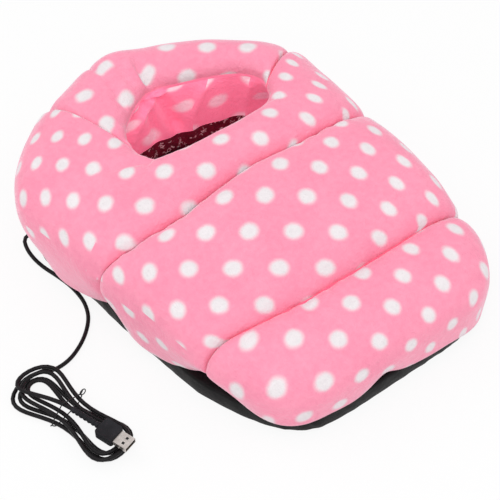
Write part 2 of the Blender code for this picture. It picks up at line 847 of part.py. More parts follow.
def bezier(handles, t):
    a, b, c, d = handles
    u = 1 - t
    return a * u ** 3 + b * 3 * u * u * t + c * 3 * u * t * t + d * t ** 3


# Free lead, hank and tie

# Route of the free lead on the floor after the outlet, in metres from the origin
cord_route = [(-0.1402, 0.1120, 0.0143), (-0.1446, 0.1105, 0.0122), (-0.1466, 0.1035, 0.0082),
              (-0.1460, 0.0945, 0.0044), (-0.1438, 0.0835, 0.0023), (-0.1394, 0.0680, 0.0019),
              (-0.1362, 0.0540, 0.0019), (-0.1350, 0.0410, 0.0019), (-0.1360, 0.0280, 0.0019),
              (-0.1410, 0.0140, 0.0019), (-0.1515, 0.0010, 0.0019), (-0.1655, -0.0095, 0.0020),
              (-0.1790, -0.0155, 0.0025), (-0.1920, -0.0165, 0.0030)]


def smooth_path(route, step):
    """Centripetal curve through the route's points, read off at an even step."""
    spots = [np.array(p, dtype=float) for p in route]
    spots = [2 * spots[0] - spots[1]] + spots + [2 * spots[-1] - spots[-2]]
    fine = []
    for i in range(1, len(spots) - 2):
        p0, p1, p2, p3 = spots[i - 1:i + 3]
        t0 = 0.0
        t1 = t0 + math.sqrt(np.linalg.norm(p1 - p0))
        t2 = t1 + math.sqrt(np.linalg.norm(p2 - p1))
        t3 = t2 + math.sqrt(np.linalg.norm(p3 - p2))
        for t in np.linspace(t1, t2, 24, endpoint=False):
            a1 = (t1 - t) / (t1 - t0) * p0 + (t - t0) / (t1 - t0) * p1
            a2 = (t2 - t) / (t2 - t1) * p1 + (t - t1) / (t2 - t1) * p2
            a3 = (t3 - t) / (t3 - t2) * p2 + (t - t2) / (t3 - t2) * p3
            b1 = (t2 - t) / (t2 - t0) * a1 + (t - t0) / (t2 - t0) * a2
            b2 = (t3 - t) / (t3 - t1) * a2 + (t - t1) / (t3 - t1) * a3
            fine.append((t2 - t) / (t2 - t1) * b1 + (t - t1) / (t2 - t1) * b2)
    fine.append(spots[-2])
    fine = np.array(fine)
    run = np.concatenate([[0.0], np.cumsum(np.linalg.norm(np.diff(fine, axis=0), axis=1))])
    count = max(int(round(run[-1] / step)), 2)
    even = np.linspace(0, run[-1], count + 1)
    return np.stack([np.interp(even, run, fine[:, k]) for k in range(3)], axis=1), run[-1]


def ease(share):
    share = min(max(share, 0.0), 1.0)
    return share * share * (3 - 2 * share)


def last_turn():
    return hank_end + 2 * hank_loops * math.tau


def hank_point(t):
    """Centre line of the hank. It winds in on the floor, climbs a layer where the spiral
    turns, winds out again and comes back over the top to the waist."""
    wound = (t - hank_start) / math.pi
    reverse = 2 * hank_loops
    lane = min(abs(reverse - wound) / 2, hank_loops)
    over = ease((wound - reverse + climb_start_share) / climb_share)
    swing = ease(wound - reverse + turn_lead_share)
    final = ease(1 - (last_turn() - t) / (math.pi * final_share))
    half_length = inner_half_length + loop_step_length * lane
    belly = (inner_belly + loop_step_belly * lane) * (1 - final * (1 - final_belly_share))
    waist = (waist_first + waist_step * lane) * (1 - final)
    u = half_length * math.cos(t)
    v = math.sin(t) * (waist + belly * math.cos(t) ** 2)
    turn = layer_turn * swing * (1 - final)
    u, v = u * math.cos(turn) - v * math.sin(turn), u * math.sin(turn) + v * math.cos(turn)
    height = hank_lift + cord_diameter / 2 + layer_rise * over + top_rise * final
    return u, v, height


def hank_to_world(u, v, height):
    c, s = math.cos(hank_heading), math.sin(hank_heading)
    return np.array([hank_place[0] + u * c - v * s, hank_place[1] + u * s + v * c, height])


def hank_points(per_loop):
    count = int(round((last_turn() - hank_start) / math.tau * per_loop))
    turns = np.linspace(hank_start, last_turn(), count + 1)
    return np.array([hank_to_world(*hank_point(t)) for t in turns])


def segments_gap(points, diameter):
    """Least free distance of a tube to itself, leaving out each stretch's own neighbours."""
    dense = []
    for a, b in zip(points, points[1:]):
        for share in np.linspace(0, 1, 5, endpoint=False):
            dense.append(a + (b - a) * share)
    dense = np.array(dense)
    run = np.concatenate([[0.0], np.cumsum(np.linalg.norm(np.diff(dense, axis=0), axis=1))])
    apart = np.linalg.norm(dense[:, None] - dense[None], axis=-1)
    near = np.abs(run[:, None] - run[None]) < diameter * math.pi
    apart[near] = np.inf
    return float(apart.min()) - diameter


def build_lead(exit_point, outward, finishes):
    hank = hank_points(points_per_loop)
    entry = hank[0]
    heading = hank[0] - hank[1]
    heading /= np.linalg.norm(heading)
    route = [np.array(exit_point), np.array(exit_point + outward * cord_diameter)]
    route += [np.array(p) for p in cord_route]
    route += [entry + heading * cord_diameter * 2, entry + heading * cord_diameter,
              entry + heading * touch_gap]
    run, run_length = smooth_path(route, cord_diameter * 2)
    tube("cord_run", run, cord_diameter, 2, finishes["cord"])
    tube("cord_hank", hank, cord_diameter, 1, finishes["cord"])
    hank_length = float(np.linalg.norm(np.diff(hank, axis=0), axis=1).sum())
    print("cord: run", round(run_length, 4), "hank", round(hank_length, 4),
          "points", len(run), len(hank))
    free = segments_gap(hank, cord_diameter)
    print("least gap of the hank to itself, in diameters:", round(free / cord_diameter, 3),
          "in metres:", round(free, 5))


def strands_at(place):
    """Where the hank's strands cross a plane across it: (side, height) pairs."""
    turns = np.linspace(hank_start, last_turn(), 2 * hank_loops * 16 * points_per_loop)
    line = [np.array(hank_point(t)) for t in turns]
    found = []
    for before, after in zip(line, line[1:]):
        if (before[0] - place) * (after[0] - place) < 0:
            share = (place - before[0]) / (after[0] - before[0])
            found.append((before + (after - before) * share)[1:])
    return np.array(found)


def build_tie(finishes):
    """Wire tie drawn round the strands at the waist."""
    strands = strands_at(tie_place)
    away = cord_diameter / 2 + tie_clearance + tie_diameter / 2
    points = []
    for turn in np.arange(tie_points) / tie_points * math.tau:
        way = np.array([math.cos(turn), math.sin(turn)])
        side, height = strands[np.argmax(strands @ way)] + way * away
        points.append(hank_to_world(tie_place, side, height))
    tube("wire_tie", points, tie_diameter, 1, finishes["tie"], closed=True)


def build_plug(finishes):
    height = hank_point(last_turn())[2]
    turn = Matrix.Rotation(hank_heading, 4, "Z")

    def at(distance, side=0.0, lift=0.0):
        return Vector(hank_to_world(distance, side, height + lift))

    groove, crest = relief_groove / 2, relief_diameter / 2
    pitch = relief_length / (2 * relief_ribs + 0.5)
    profile = [(0.0, groove)]
    for rib in range(relief_ribs):
        start = (2 * rib + 0.5) * pitch
        profile += [(start, groove), (start + pitch / 2, crest), (start + pitch, crest),
                    (start + 1.5 * pitch, groove)]
    profile.append((relief_length, crest))
    lathe("plug_relief", profile, at(touch_gap), turn, finishes["rubber"], 12)
    body_start = relief_length + 2 * touch_gap
    middle = at(body_start + plug_body_size[0] / 2)
    body = box("plug_body", plug_body_size, middle, turn, finishes["rubber"])
    bevel = body.modifiers.new("edges", "BEVEL")
    bevel.width = plug_edge
    bevel.segments = 2
    shell_start = body_start + plug_body_size[0] + touch_gap
    shell_middle = shell_start + shell_size[0] / 2
    shell = box("plug_shell", shell_size, at(shell_middle), turn, finishes["metal"])
    hollow_size = (shell_size[0], shell_size[1] - 2 * shell_wall, shell_size[2] - 2 * shell_wall)
    hollow = box("shell_hollow", hollow_size, at(shell_middle + shell_wall), turn, finishes["metal"])
    cut(shell, hollow)
    for side in (-1, 1):
        name = "shell_hole_left" if side < 0 else "shell_hole_right"
        hole_size = (shell_hole, shell_hole, shell_size[2] * 2)
        place = at(shell_start + shell_size[0] - shell_hole_setback, side * shell_hole_pitch / 2)
        cut(shell, box(name, hole_size, place, turn, finishes["metal"]))
    tongue_start = shell_start + shell_wall + touch_gap
    lift = shell_size[2] / 2 - shell_wall - touch_gap - tongue_size[2] / 2
    box("plug_tongue", tongue_size, at(tongue_start + tongue_size[0] / 2, 0.0, lift), turn,
        finishes["contact_block"])
    under = lift - tongue_size[2] / 2 - touch_gap - contact_size[2] / 2
    reach_in = tongue_start + tongue_size[0] - contact_size[0] / 2 - touch_gap
    for number, k in enumerate((-1.5, -0.5, 0.5, 1.5), start=1):
        box(f"plug_contact_{number}", contact_size, at(reach_in, k * contact_pitch, under), turn,
            finishes["gold"])


def main():
    clear_scene()
    finishes = {
        "fleece": material("pink_fleece", (0.95, 0.30, 0.47), 0.95),
        "lining": material("pink_lining", (0.93, 0.25, 0.42), 0.95),
        "wadding": material("white_wadding", (0.90, 0.90, 0.88), 1.0),
        "sole": material("black_sole_cloth", (0.02, 0.02, 0.022), 0.6),
        "foam": material("grey_foam", (0.35, 0.35, 0.36), 0.9),
        "felt": material("grey_felt", (0.45, 0.42, 0.42), 0.95),
        "plush": material("burgundy_plush", (0.22, 0.01, 0.05), 0.95),
        "wire": material("heating_wire", (0.75, 0.20, 0.12), 0.5),
        "metal": material("nickel", (0.72, 0.70, 0.68), 0.3, 1.0),
        "rubber": material("black_rubber", (0.015, 0.015, 0.016), 0.55),
        "cord": material("black_lead", (0.012, 0.012, 0.013), 0.4),
        "tie": material("black_tie_wire", (0.01, 0.01, 0.01), 0.45),
        "contact_block": material("contact_block", (0.05, 0.05, 0.05), 0.5),
        "gold": material("contact_gold", (0.85, 0.62, 0.25), 0.3, 1.0),
    }
    hem = len(hem_shares)
    stuffed_channel("toe", toe_grid, lambda c, r: True, False, finishes)
    stuffed_channel("instep", instep_grid, lambda c, r: True, False, finishes)
    middle = range(wing_columns, wing_columns + columns_across)
    stuffed_channel("throat", throat_grid, lambda c, r: r >= hem or c not in middle, True,
                    finishes)
    stuffed_channel("heel", heel_grid, lambda c, r: True, True, finishes)
    floor = build_sole(finishes)
    build_footbed(floor, finishes)
    exit_point, outward = build_outlet(finishes)
    build_lead(exit_point, outward, finishes)
    build_tie(finishes)
    build_plug(finishes)
    print("cord exit", [round(v, 4) for v in exit_point], "outward", [round(v, 4) for v in outward])


main()
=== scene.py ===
# %% [markdown]
# An electric foot warmer, built as a lesson in Blender. The real thing is a boot for two feet:
# four stuffed channels of dotted fleece on a black sole, with a heated pad inside and a thin
# lead with a flat plug. Everything here is in metres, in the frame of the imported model, so each
# new piece goes exactly where its solid is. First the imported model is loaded.

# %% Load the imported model
import json
import math

import bmesh
import bpy
import numpy as np
from mathutils import Matrix, Vector, noise
from mathutils.kdtree import KDTree

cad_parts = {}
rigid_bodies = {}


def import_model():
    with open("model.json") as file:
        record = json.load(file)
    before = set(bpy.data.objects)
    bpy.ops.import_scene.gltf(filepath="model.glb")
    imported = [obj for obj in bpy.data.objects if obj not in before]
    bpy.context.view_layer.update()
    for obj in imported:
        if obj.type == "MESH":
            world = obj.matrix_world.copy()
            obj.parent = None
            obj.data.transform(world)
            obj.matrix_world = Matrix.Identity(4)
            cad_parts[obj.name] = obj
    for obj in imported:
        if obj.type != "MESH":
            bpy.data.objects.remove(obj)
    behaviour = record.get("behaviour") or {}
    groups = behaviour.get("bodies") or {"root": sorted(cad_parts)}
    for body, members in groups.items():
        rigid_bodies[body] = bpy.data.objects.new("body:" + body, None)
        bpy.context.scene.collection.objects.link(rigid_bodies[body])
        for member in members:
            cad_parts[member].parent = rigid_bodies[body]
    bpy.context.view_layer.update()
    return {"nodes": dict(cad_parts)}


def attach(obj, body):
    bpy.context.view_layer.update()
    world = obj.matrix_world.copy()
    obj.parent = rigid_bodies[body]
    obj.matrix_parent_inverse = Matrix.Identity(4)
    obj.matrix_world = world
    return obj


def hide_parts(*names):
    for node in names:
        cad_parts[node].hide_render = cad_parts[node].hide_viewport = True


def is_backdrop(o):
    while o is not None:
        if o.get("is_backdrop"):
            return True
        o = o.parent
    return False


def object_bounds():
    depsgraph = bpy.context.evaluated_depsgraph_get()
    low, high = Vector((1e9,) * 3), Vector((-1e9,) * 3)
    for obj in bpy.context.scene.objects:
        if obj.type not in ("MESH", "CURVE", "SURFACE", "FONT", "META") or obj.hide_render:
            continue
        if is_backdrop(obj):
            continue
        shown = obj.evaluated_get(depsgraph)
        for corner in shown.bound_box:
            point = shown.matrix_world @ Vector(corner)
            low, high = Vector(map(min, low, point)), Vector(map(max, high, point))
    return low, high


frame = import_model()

# %% [markdown]
# The camera stands where the photographer stood: in front and to the left of the toe, looking
# down at 48 degrees. A long lens from more than a metre away keeps the toe from looking too big.
# A small shift of the lens sets the warmer where it lies in the picture.

# %% Camera
camera_azimuth = math.radians(-36.2)
camera_elevation = math.radians(48.25)
camera_distance = 1.15
looked_at = Vector((0.0037, -0.0226, 0.05))

camera_data = bpy.data.cameras.new("camera")
camera_data.angle = math.radians(20.5)
camera_data.shift_x, camera_data.shift_y = -0.0096, -0.044
camera = bpy.data.objects.new("camera", camera_data)
bpy.context.collection.objects.link(camera)
back = Vector((math.sin(camera_azimuth) * math.cos(camera_elevation),
               -math.cos(camera_azimuth) * math.cos(camera_elevation),
               math.sin(camera_elevation)))
camera.location = looked_at + back * camera_distance
camera.rotation_euler = (-back).to_track_quat("-Z", "Y").to_euler()
bpy.context.scene.camera = camera
print("camera at", tuple(round(v, 3) for v in camera.location))

# %% [markdown]
# The light is that of a plain studio: a bright, even world, one large soft lamp from the upper
# left, a weaker one from the right and a third from behind, so that the channels still show
# their roundness. The floor is a white sheet. It is lifted to white for the camera by its own
# emission, mixed in only on camera, mirror and see-through rays, so no extra light falls on the
# fleece. Two short functions, feed and add, put together the nodes of this and each later finish.

# %% Light and floor
bpy.context.scene.view_settings.view_transform = "Standard"
lamp_target = Vector((0, 0, 0.05))
floor_lift = 0.88              # how much of the floor's white is its own


def soft_lamp(name, place, size, power):
    """Square lamp that faces the warmer."""
    data = bpy.data.lights.new(name, "AREA")
    data.size, data.energy = size, power
    lamp = bpy.data.objects.new(name, data)
    lamp.location = place
    lamp.rotation_euler = (lamp_target - Vector(place)).to_track_quat("-Z", "Y").to_euler()
    bpy.context.collection.objects.link(lamp)


def feed(node, inputs):
    """Set a node's inputs to plain values, or link them to outputs of other nodes."""
    for key, value in inputs.items():
        if isinstance(value, bpy.types.NodeSocket):
            node.id_data.links.new(value, node.inputs[key])
        else:
            node.inputs[key].default_value = value


def add(tree, kind, inputs={}, **settings):
    """Add a node to a tree and give back its outputs."""
    made = tree.nodes.new("ShaderNode" + kind)
    for key, value in settings.items():
        setattr(made, key, value)
    feed(made, inputs)
    return made.outputs


def math_node(tree, operation, first, second, clamp=False):
    return add(tree, "Math", {0: first, 1: second}, operation=operation, use_clamp=clamp)[0]


def new_material(name):
    """Material with its tree and its shader at hand."""
    made = bpy.data.materials.new(name)
    made.use_nodes = True
    return made, made.node_tree, made.node_tree.nodes["Principled BSDF"]


world = bpy.data.worlds.new("studio")
bpy.context.scene.world = world
world.use_nodes = True
feed(world.node_tree.nodes["Background"], {"Color": (1.0, 1.0, 1.0, 1.0), "Strength": 0.80})
soft_lamp("key_lamp", (-0.60, -0.75, 1.25), 0.9, 6.4)
soft_lamp("fill_lamp", (1.1, -0.5, 1.1), 1.0, 2.0)
soft_lamp("back_lamp", (-0.55, 0.85, 1.10), 0.7, 2.5)

floor_finish, tree, shader = new_material("studio_floor")
feed(shader, {"Base Color": (0.86, 0.86, 0.86, 1.0), "Roughness": 0.9})
rays = add(tree, "LightPath")
seen = math_node(tree, "ADD", rays["Is Camera Ray"], rays["Is Glossy Ray"])
seen = math_node(tree, "ADD", seen, rays["Is Transmission Ray"])
lift = math_node(tree, "MULTIPLY", seen, floor_lift, clamp=True)
lifted = add(tree, "MixShader", {0: lift, 1: shader.outputs[0], 2: add(tree, "Emission")[0]})
feed(tree.nodes["Material Output"], {"Surface": lifted[0]})

bpy.ops.mesh.primitive_plane_add(size=12.0, location=(0.0, 0.0, 0.0))
floor = bpy.context.object
floor.name = "floor"
floor.data.materials.append(floor_finish)
floor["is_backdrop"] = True
print("floor and lamps made")

# %% [markdown]
# The lead is one thin, limp cable, 3.5 mm thick. It drops from the sole at the rear of the left
# side, wanders over the floor and ends in a hank of a little over four loops, in two layers and
# held at its waist by a wire tie. Its centre line is worked out first: a smooth curve through a
# few places on the floor, then a figure of eight that winds in, climbs a layer, winds out and
# comes back to the waist on top. One curve with a round bevel then carries the whole lead, so
# its length is true.

# %% The lead's run over the floor
cord_diameter = 0.0035
touch_gap = 0.0003
cord_exit = (-0.1340, 0.1079, 0.0146)
cord_outward = (-0.8909, 0.4542, 0.0)
cord_route = [(-0.1402, 0.1120, 0.0143), (-0.1446, 0.1105, 0.0122), (-0.1466, 0.1035, 0.0082),
              (-0.1460, 0.0945, 0.0044), (-0.1438, 0.0835, 0.0023), (-0.1394, 0.0680, 0.0019),
              (-0.1362, 0.0540, 0.0019), (-0.1350, 0.0410, 0.0019), (-0.1360, 0.0280, 0.0019),
              (-0.1410, 0.0140, 0.0019), (-0.1515, 0.0010, 0.0019), (-0.1655, -0.0095, 0.0020),
              (-0.1790, -0.0155, 0.0025), (-0.1920, -0.0165, 0.0030)]


def run_along(line):
    """How far along a line each of its points is."""
    return np.concatenate([[0.0], np.cumsum(np.linalg.norm(np.diff(line, axis=0), axis=1))])


def smooth_path(route, step):
    """Centripetal curve through the route's points, read off at an even step."""
    spots = [np.array(p, dtype=float) for p in route]
    spots = [2 * spots[0] - spots[1]] + spots + [2 * spots[-1] - spots[-2]]
    fine = []
    for i in range(1, len(spots) - 2):
        p0, p1, p2, p3 = spots[i - 1:i + 3]
        t1 = math.sqrt(np.linalg.norm(p1 - p0))
        t2 = t1 + math.sqrt(np.linalg.norm(p2 - p1))
        t3 = t2 + math.sqrt(np.linalg.norm(p3 - p2))
        for t in np.linspace(t1, t2, 24, endpoint=False):
            a1 = (t1 - t) / t1 * p0 + t / t1 * p1
            a2 = (t2 - t) / (t2 - t1) * p1 + (t - t1) / (t2 - t1) * p2
            a3 = (t3 - t) / (t3 - t2) * p2 + (t - t2) / (t3 - t2) * p3
            b1 = (t2 - t) / t2 * a1 + t / t2 * a2
            b2 = (t3 - t) / (t3 - t1) * a2 + (t - t1) / (t3 - t1) * a3
            fine.append((t2 - t) / (t2 - t1) * b1 + (t - t1) / (t2 - t1) * b2)
    fine.append(spots[-2])
    fine = np.array(fine)
    run = run_along(fine)
    even = np.linspace(0, run[-1], max(int(round(run[-1] / step)), 2) + 1)
    return np.stack([np.interp(even, run, fine[:, k]) for k in range(3)], axis=1)


# %% The lead's hank
hank_place = (-0.2032, -0.0648)
hank_heading = math.radians(-71.5)
hank_lift = 0.0018
hank_loops = 2
hank_start = math.radians(158.0)
last_turn = math.radians(270.0) + 2 * hank_loops * math.tau
points_per_loop = 48
inner_half_length, loop_step_length = 0.0455, 0.0046
inner_belly, loop_step_belly = 0.0196, 0.0051
waist_first, waist_step = 0.0033, 0.0050
layer_rise, top_rise, layer_turn = 0.0048, 0.0064, math.radians(-7.4)
climb_start, climb_length, swing_start, end_length = 0.72, 1.18, 0.52, 0.79     # half turns


def ease(share):
    share = min(max(share, 0.0), 1.0)
    return share * share * (3 - 2 * share)


def hank_point(t):
    """Place on the hank's line in its own directions: along, across, up."""
    wound = (t - hank_start) / math.pi
    reverse = 2 * hank_loops
    lane = min(abs(reverse - wound) / 2, hank_loops)
    over = ease((wound - reverse + climb_start) / climb_length)
    swing = ease(wound - reverse + swing_start)
    final = ease(1 - (last_turn - t) / (math.pi * end_length))
    half_length = inner_half_length + loop_step_length * lane
    belly = (inner_belly + loop_step_belly * lane) * (1 - final / 2)
    waist = (waist_first + waist_step * lane) * (1 - final)
    u = half_length * math.cos(t)
    v = math.sin(t) * (waist + belly * math.cos(t) ** 2)
    turn = layer_turn * swing * (1 - final)
    u, v = u * math.cos(turn) - v * math.sin(turn), u * math.sin(turn) + v * math.cos(turn)
    return u, v, hank_lift + cord_diameter / 2 + layer_rise * over + top_rise * final


def from_hank(along, across, height):
    """Place in metres of a place given in the hank's directions."""
    c, s = math.cos(hank_heading), math.sin(hank_heading)
    return np.array([hank_place[0] + along * c - across * s,
                     hank_place[1] + along * s + across * c, height])


turns = np.linspace(hank_start, last_turn,
                    int(round((last_turn - hank_start) / math.tau * points_per_loop)) + 1)
hank = np.array([from_hank(*hank_point(t)) for t in turns])
entry_way = (hank[0] - hank[1]) / np.linalg.norm(hank[0] - hank[1])
start = np.array(cord_exit)
route = [start, start + np.array(cord_outward) * cord_diameter, *cord_route]
route += [hank[0] + entry_way * cord_diameter * k for k in (2, 1)]
lead_line = np.concatenate([smooth_path(route + [hank[0]], cord_diameter)[:-1], hank])
print("lead:", len(lead_line), "points,", round(float(run_along(lead_line)[-1]), 4), "m")


# %% The lead itself
def tube(name, points, diameter, resolution, closed=False):
    """Round tube along a line: a curve with a bevel, turned into a mesh."""
    curve = bpy.data.curves.new(name, "CURVE")
    curve.dimensions = "3D"
    curve.bevel_depth = diameter / 2
    curve.bevel_resolution = resolution
    curve.use_fill_caps = not closed
    spline = curve.splines.new("POLY")
    spline.points.add(len(points) - 1)
    for spot, point in zip(spline.points, points):
        spot.co = (*point, 1.0)
    spline.use_cyclic_u = closed
    spline.use_smooth = True
    made = bpy.data.objects.new(name, curve)
    bpy.context.collection.objects.link(made)
    bpy.ops.object.select_all(action="DESELECT")
    made.select_set(True)
    bpy.context.view_layer.objects.active = made
    bpy.ops.object.convert(target="MESH")
    made = bpy.context.view_layer.objects.active
    made.data.shade_smooth()
    return made


lead = tube("lead", lead_line, cord_diameter, 4)
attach(lead, "root")
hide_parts("cord_run", "cord_hank")

# %% [markdown]
# The tie is a stiff, thin wire that was bent round the hank's waist. It runs round the outside
# of all the strands, makes a small eye on the far side where its ends are twisted, and leaves a
# short bent tail on the near side. A convex hull of the strands gives the path round them.


# %% Wire tie
def strands_at(place):
    """Where the hank's strands cross a plane across it: (across, up) pairs."""
    line = [np.array(hank_point(t)) for t in np.linspace(hank_start, last_turn, 1600)]
    found = []
    for before, after in zip(line, line[1:]):
        if (before[0] - place) * (after[0] - place) < 0:
            share = (place - before[0]) / (after[0] - before[0])
            found.append((before + (after - before) * share)[1:])
    return np.array(found)


tie_place = -0.0065
tie_diameter, tie_clearance, tie_slant = 0.0010, 0.0007, 0.0016
strands = strands_at(tie_place)
away = cord_diameter / 2 + tie_clearance + tie_diameter / 2
loop = []
for turn in np.linspace(0, math.tau, 72, endpoint=False):
    way = np.array([math.cos(turn), math.sin(turn)])
    across, height = strands[np.argmax(strands @ way)] + way * away
    slant = tie_slant * math.cos(turn)
    loop.append(from_hank(tie_place + slant, across, max(height, tie_diameter / 2)))
wire_tie = tube("wire_tie_loop", loop, tie_diameter, 3, closed=True)

side = float(strands[:, 0].max() + away)
level = float(strands[np.argmax(strands[:, 0]), 1])
eye = []
for turn in np.linspace(-0.42, 0.92, 30) * math.tau:
    eye.append(from_hank(tie_place + 0.0014 * math.sin(turn / 2),
                         side + 0.0026 - 0.0024 * math.cos(turn),
                         max(level + 0.0030 * math.sin(turn) + 0.0016, 0.0006)))
tie_eye = tube("wire_tie_eye", eye, tie_diameter * 0.9, 3)
low = float(strands[:, 0].min() - away)
tail = [from_hank(tie_place - 0.0014 - 0.0006 * k, low - 0.0004 * k * (3.2 - k),
                  0.0042 - 0.0009 * k) for k in np.linspace(0, 3.6, 14)]
tie_tail = tube("wire_tie_tail", tail, tie_diameter * 0.9, 3)
for piece in (wire_tie, tie_eye, tie_tail):
    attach(piece, "root")
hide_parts("wire_tie")
print("tie round", len(strands), "strands")

# %% [markdown]
# Seen from above the warmer is a rounded box at the toe and almost a half circle at the heel.
# A superellipse gives both ends with one formula, so each height and each seam can be found
# from the same outline, drawn in by the right amount. The stuffed body leans a little to one
# side, as it does in the picture.

# %% Outline of the body from above
body_length, body_width, heel_reach = 0.3835, 0.300, 0.105
toe_squareness, heel_squareness = 6.2, 1.7
toe_width_share, taper_power = 0.828, 1.3
lean_share, lean_middle = -0.0994, -0.00708
widest_y = body_length / 2 - heel_reach
toe_seam_y, instep_seam_y = 0.08025 - body_length / 2, widest_y - 0.08075
sole_inset = (0.003, 0.014, 0.020)            # under the toe, the sides and the heel
hem_inset = (0.0045, 0.0155, 0.0215)
cavity_inset = (0.036, 0.040, 0.071)
no_inset = (0.0, 0.0, 0.0)


def reach(way, inset=no_inset):
    """Half width of an outline, and how far it goes towards this end."""
    toe, side, heel = inset
    to_toe, to_heel = body_length / 2 + widest_y - toe, heel_reach - heel
    return body_width / 2 - side, to_toe if way < 0 else to_heel


def taper(y):
    to_toe = body_length / 2 + widest_y
    return 1 - (1 - toe_width_share) * min(max((widest_y - y) / to_toe, 0.0), 1.0) ** taper_power


def outline(angle, inset=no_inset):
    """Point of the outline in this direction from the middle of the widest line."""
    half_width, half_length = reach(math.sin(angle), inset)
    power = toe_squareness if math.sin(angle) < 0 else heel_squareness
    across, along = abs(math.cos(angle)) / half_width, abs(math.sin(angle)) / half_length
    distance = (across ** power + along ** power) ** (-1 / power)
    y = widest_y + distance * math.sin(angle)
    return np.array([distance * math.cos(angle) * taper(y), y])


def side_angle(y, side, inset=no_inset):
    """Direction of the point of the left (-1) or right (1) side that has this y."""
    half_width, half_length = reach(y - widest_y, inset)
    power = toe_squareness if y < widest_y else heel_squareness
    x = half_width * (1 - abs((y - widest_y) / half_length) ** power) ** (1 / power)
    return math.atan2(y - widest_y, side * x) % math.tau


def angle_at(turn, inset=no_inset):
    """Direction of the point at this turn round an outline made as wide as it is long."""
    half_width, half_length = reach(math.sin(turn), inset)
    found = math.atan2(half_length * math.sin(turn), half_width * math.cos(turn))
    return turn + math.remainder(found - turn, math.tau)


def depth_inside(x, y, inset=no_inset):
    """How far in from an outline a point lies, and its direction."""
    angle = math.atan2(y - widest_y, x / taper(y))
    edge = outline(angle, inset)
    full = math.hypot(edge[0] / taper(edge[1]), edge[1] - widest_y)
    return max(full - math.hypot(x / taper(y), y - widest_y), 0.0), angle % math.tau


def lean(points):
    moved = np.array(points, dtype=float)
    moved[..., 0] += lean_share * moved[..., 1] - lean_middle
    return moved


print("widest line at", round(widest_y, 4), "seams at", toe_seam_y, instep_seam_y)

# %% [markdown]
# Along the middle the top goes up and down like a row of sausages: each channel is full in its
# middle and drawn down to its seams. The same rounded curve, steep at the seam and flat on top,
# also brings the top down to the sides. Below the widest line the cloth turns in to the hem.

# %% Heights of the crown and of the room inside
hem_height, bulge_share, crown_power = 0.0175, 0.45, 2.3
toe_height, toe_seam_height = 0.076, 0.066
instep_height, instep_seam_height = 0.099, 0.088
throat_height, collar_height = 0.105, 0.1075
rim_height, rim_open, throat_roll = 0.092, 0.0028, 0.028
lining_foot, toe_ceiling, ceiling_sag = 0.0180, 0.040, 0.011
collar_run, lining_shoulder, seam_thickness = 0.100, 0.045, 0.0045
rim_x, rim_y = 0.020, 0.093


def rise(share):
    share = min(max(share, 0.0), 1.0)
    return (1 - (1 - share) ** crown_power) ** (1 / crown_power)


def swell(share):
    return rise(1 - abs(2 * share - 1))


def shoulder(angle):
    """Distance from the widest line in to the crown, by direction."""
    turns = np.radians((0, 45, 90, 135, 180, 215, 240, 270, 300, 325, 360))
    widths = (0.050, 0.042, 0.038, 0.048, 0.060, 0.090, 0.078, 0.052, 0.066, 0.074, 0.050)
    return float(np.interp(angle, turns, widths))


def crown(y):
    if y < toe_seam_y:
        share = (toe_seam_y - y) / (body_length / 2 + toe_seam_y)
        return toe_seam_height + (toe_height - toe_seam_height) * rise(2 * share)
    if y < instep_seam_y:
        share = (y - toe_seam_y) / (instep_seam_y - toe_seam_y)
        level = toe_seam_height + (instep_seam_height - toe_seam_height) * share
        return level + (instep_height - (toe_seam_height + instep_seam_height) / 2) * swell(share)
    back_from_seam = y - instep_seam_y
    puff = (throat_height - instep_seam_height) * rise(back_from_seam / throat_roll)
    climb = (collar_height - throat_height) * min(back_from_seam / collar_run, 1.0)
    return instep_seam_height + puff + climb


def ceiling(y):
    if y < toe_seam_y:
        share = (toe_seam_y - y) / (body_length / 2 + toe_seam_y)
        return toe_seam_height - seam_thickness - (toe_seam_height - toe_ceiling) * rise(share)
    share = min((y - toe_seam_y) / (instep_seam_y - toe_seam_y), 1.0)
    level = toe_seam_height + (instep_seam_height - toe_seam_height) * share
    return level - seam_thickness - ceiling_sag * swell(share)


def top_height(x, y, inner):
    """Height of the cover, or of the lining's ceiling, over a place on the floor."""
    if inner:
        depth, angle = depth_inside(x, y, cavity_inset)
        top, foot, width = ceiling(y), lining_foot, lining_shoulder
    else:
        depth, angle = depth_inside(x, y)
        top, foot, width = crown(y), hem_height, shoulder(angle)
    widest = foot + bulge_share * (top - foot)
    return widest + (top - widest) * rise(depth / width)


print("crown over the toe, instep and throat:", [round(crown(y), 4) for y in (-0.15, -0.05, 0.04)])

# %% [markdown]
# The hem isn't level. Where a seam ends, its thread draws the hem up and in. Between the seams,
# and most of all at the two corners of the toe, the stuffing pushes it down over the sole. A
# list of places with their strengths gives this pull for any point of the hem.

# %% Where the hem is pulled up or pushed down
left_seam_edge, right_seam_edge = math.radians(119.0), math.radians(11.0)
left_seam_foot, right_seam_foot = math.radians(176.0), math.radians(2.0)
left_seam_rim, right_seam_rim = math.radians(204.0), math.radians(335.0)
front_rim_left, front_rim_right = math.radians(228.0), math.radians(310.0)
seam_gap, lowest_pull = 0.0006, -0.0095     # no place of the hem is drawn lower than this

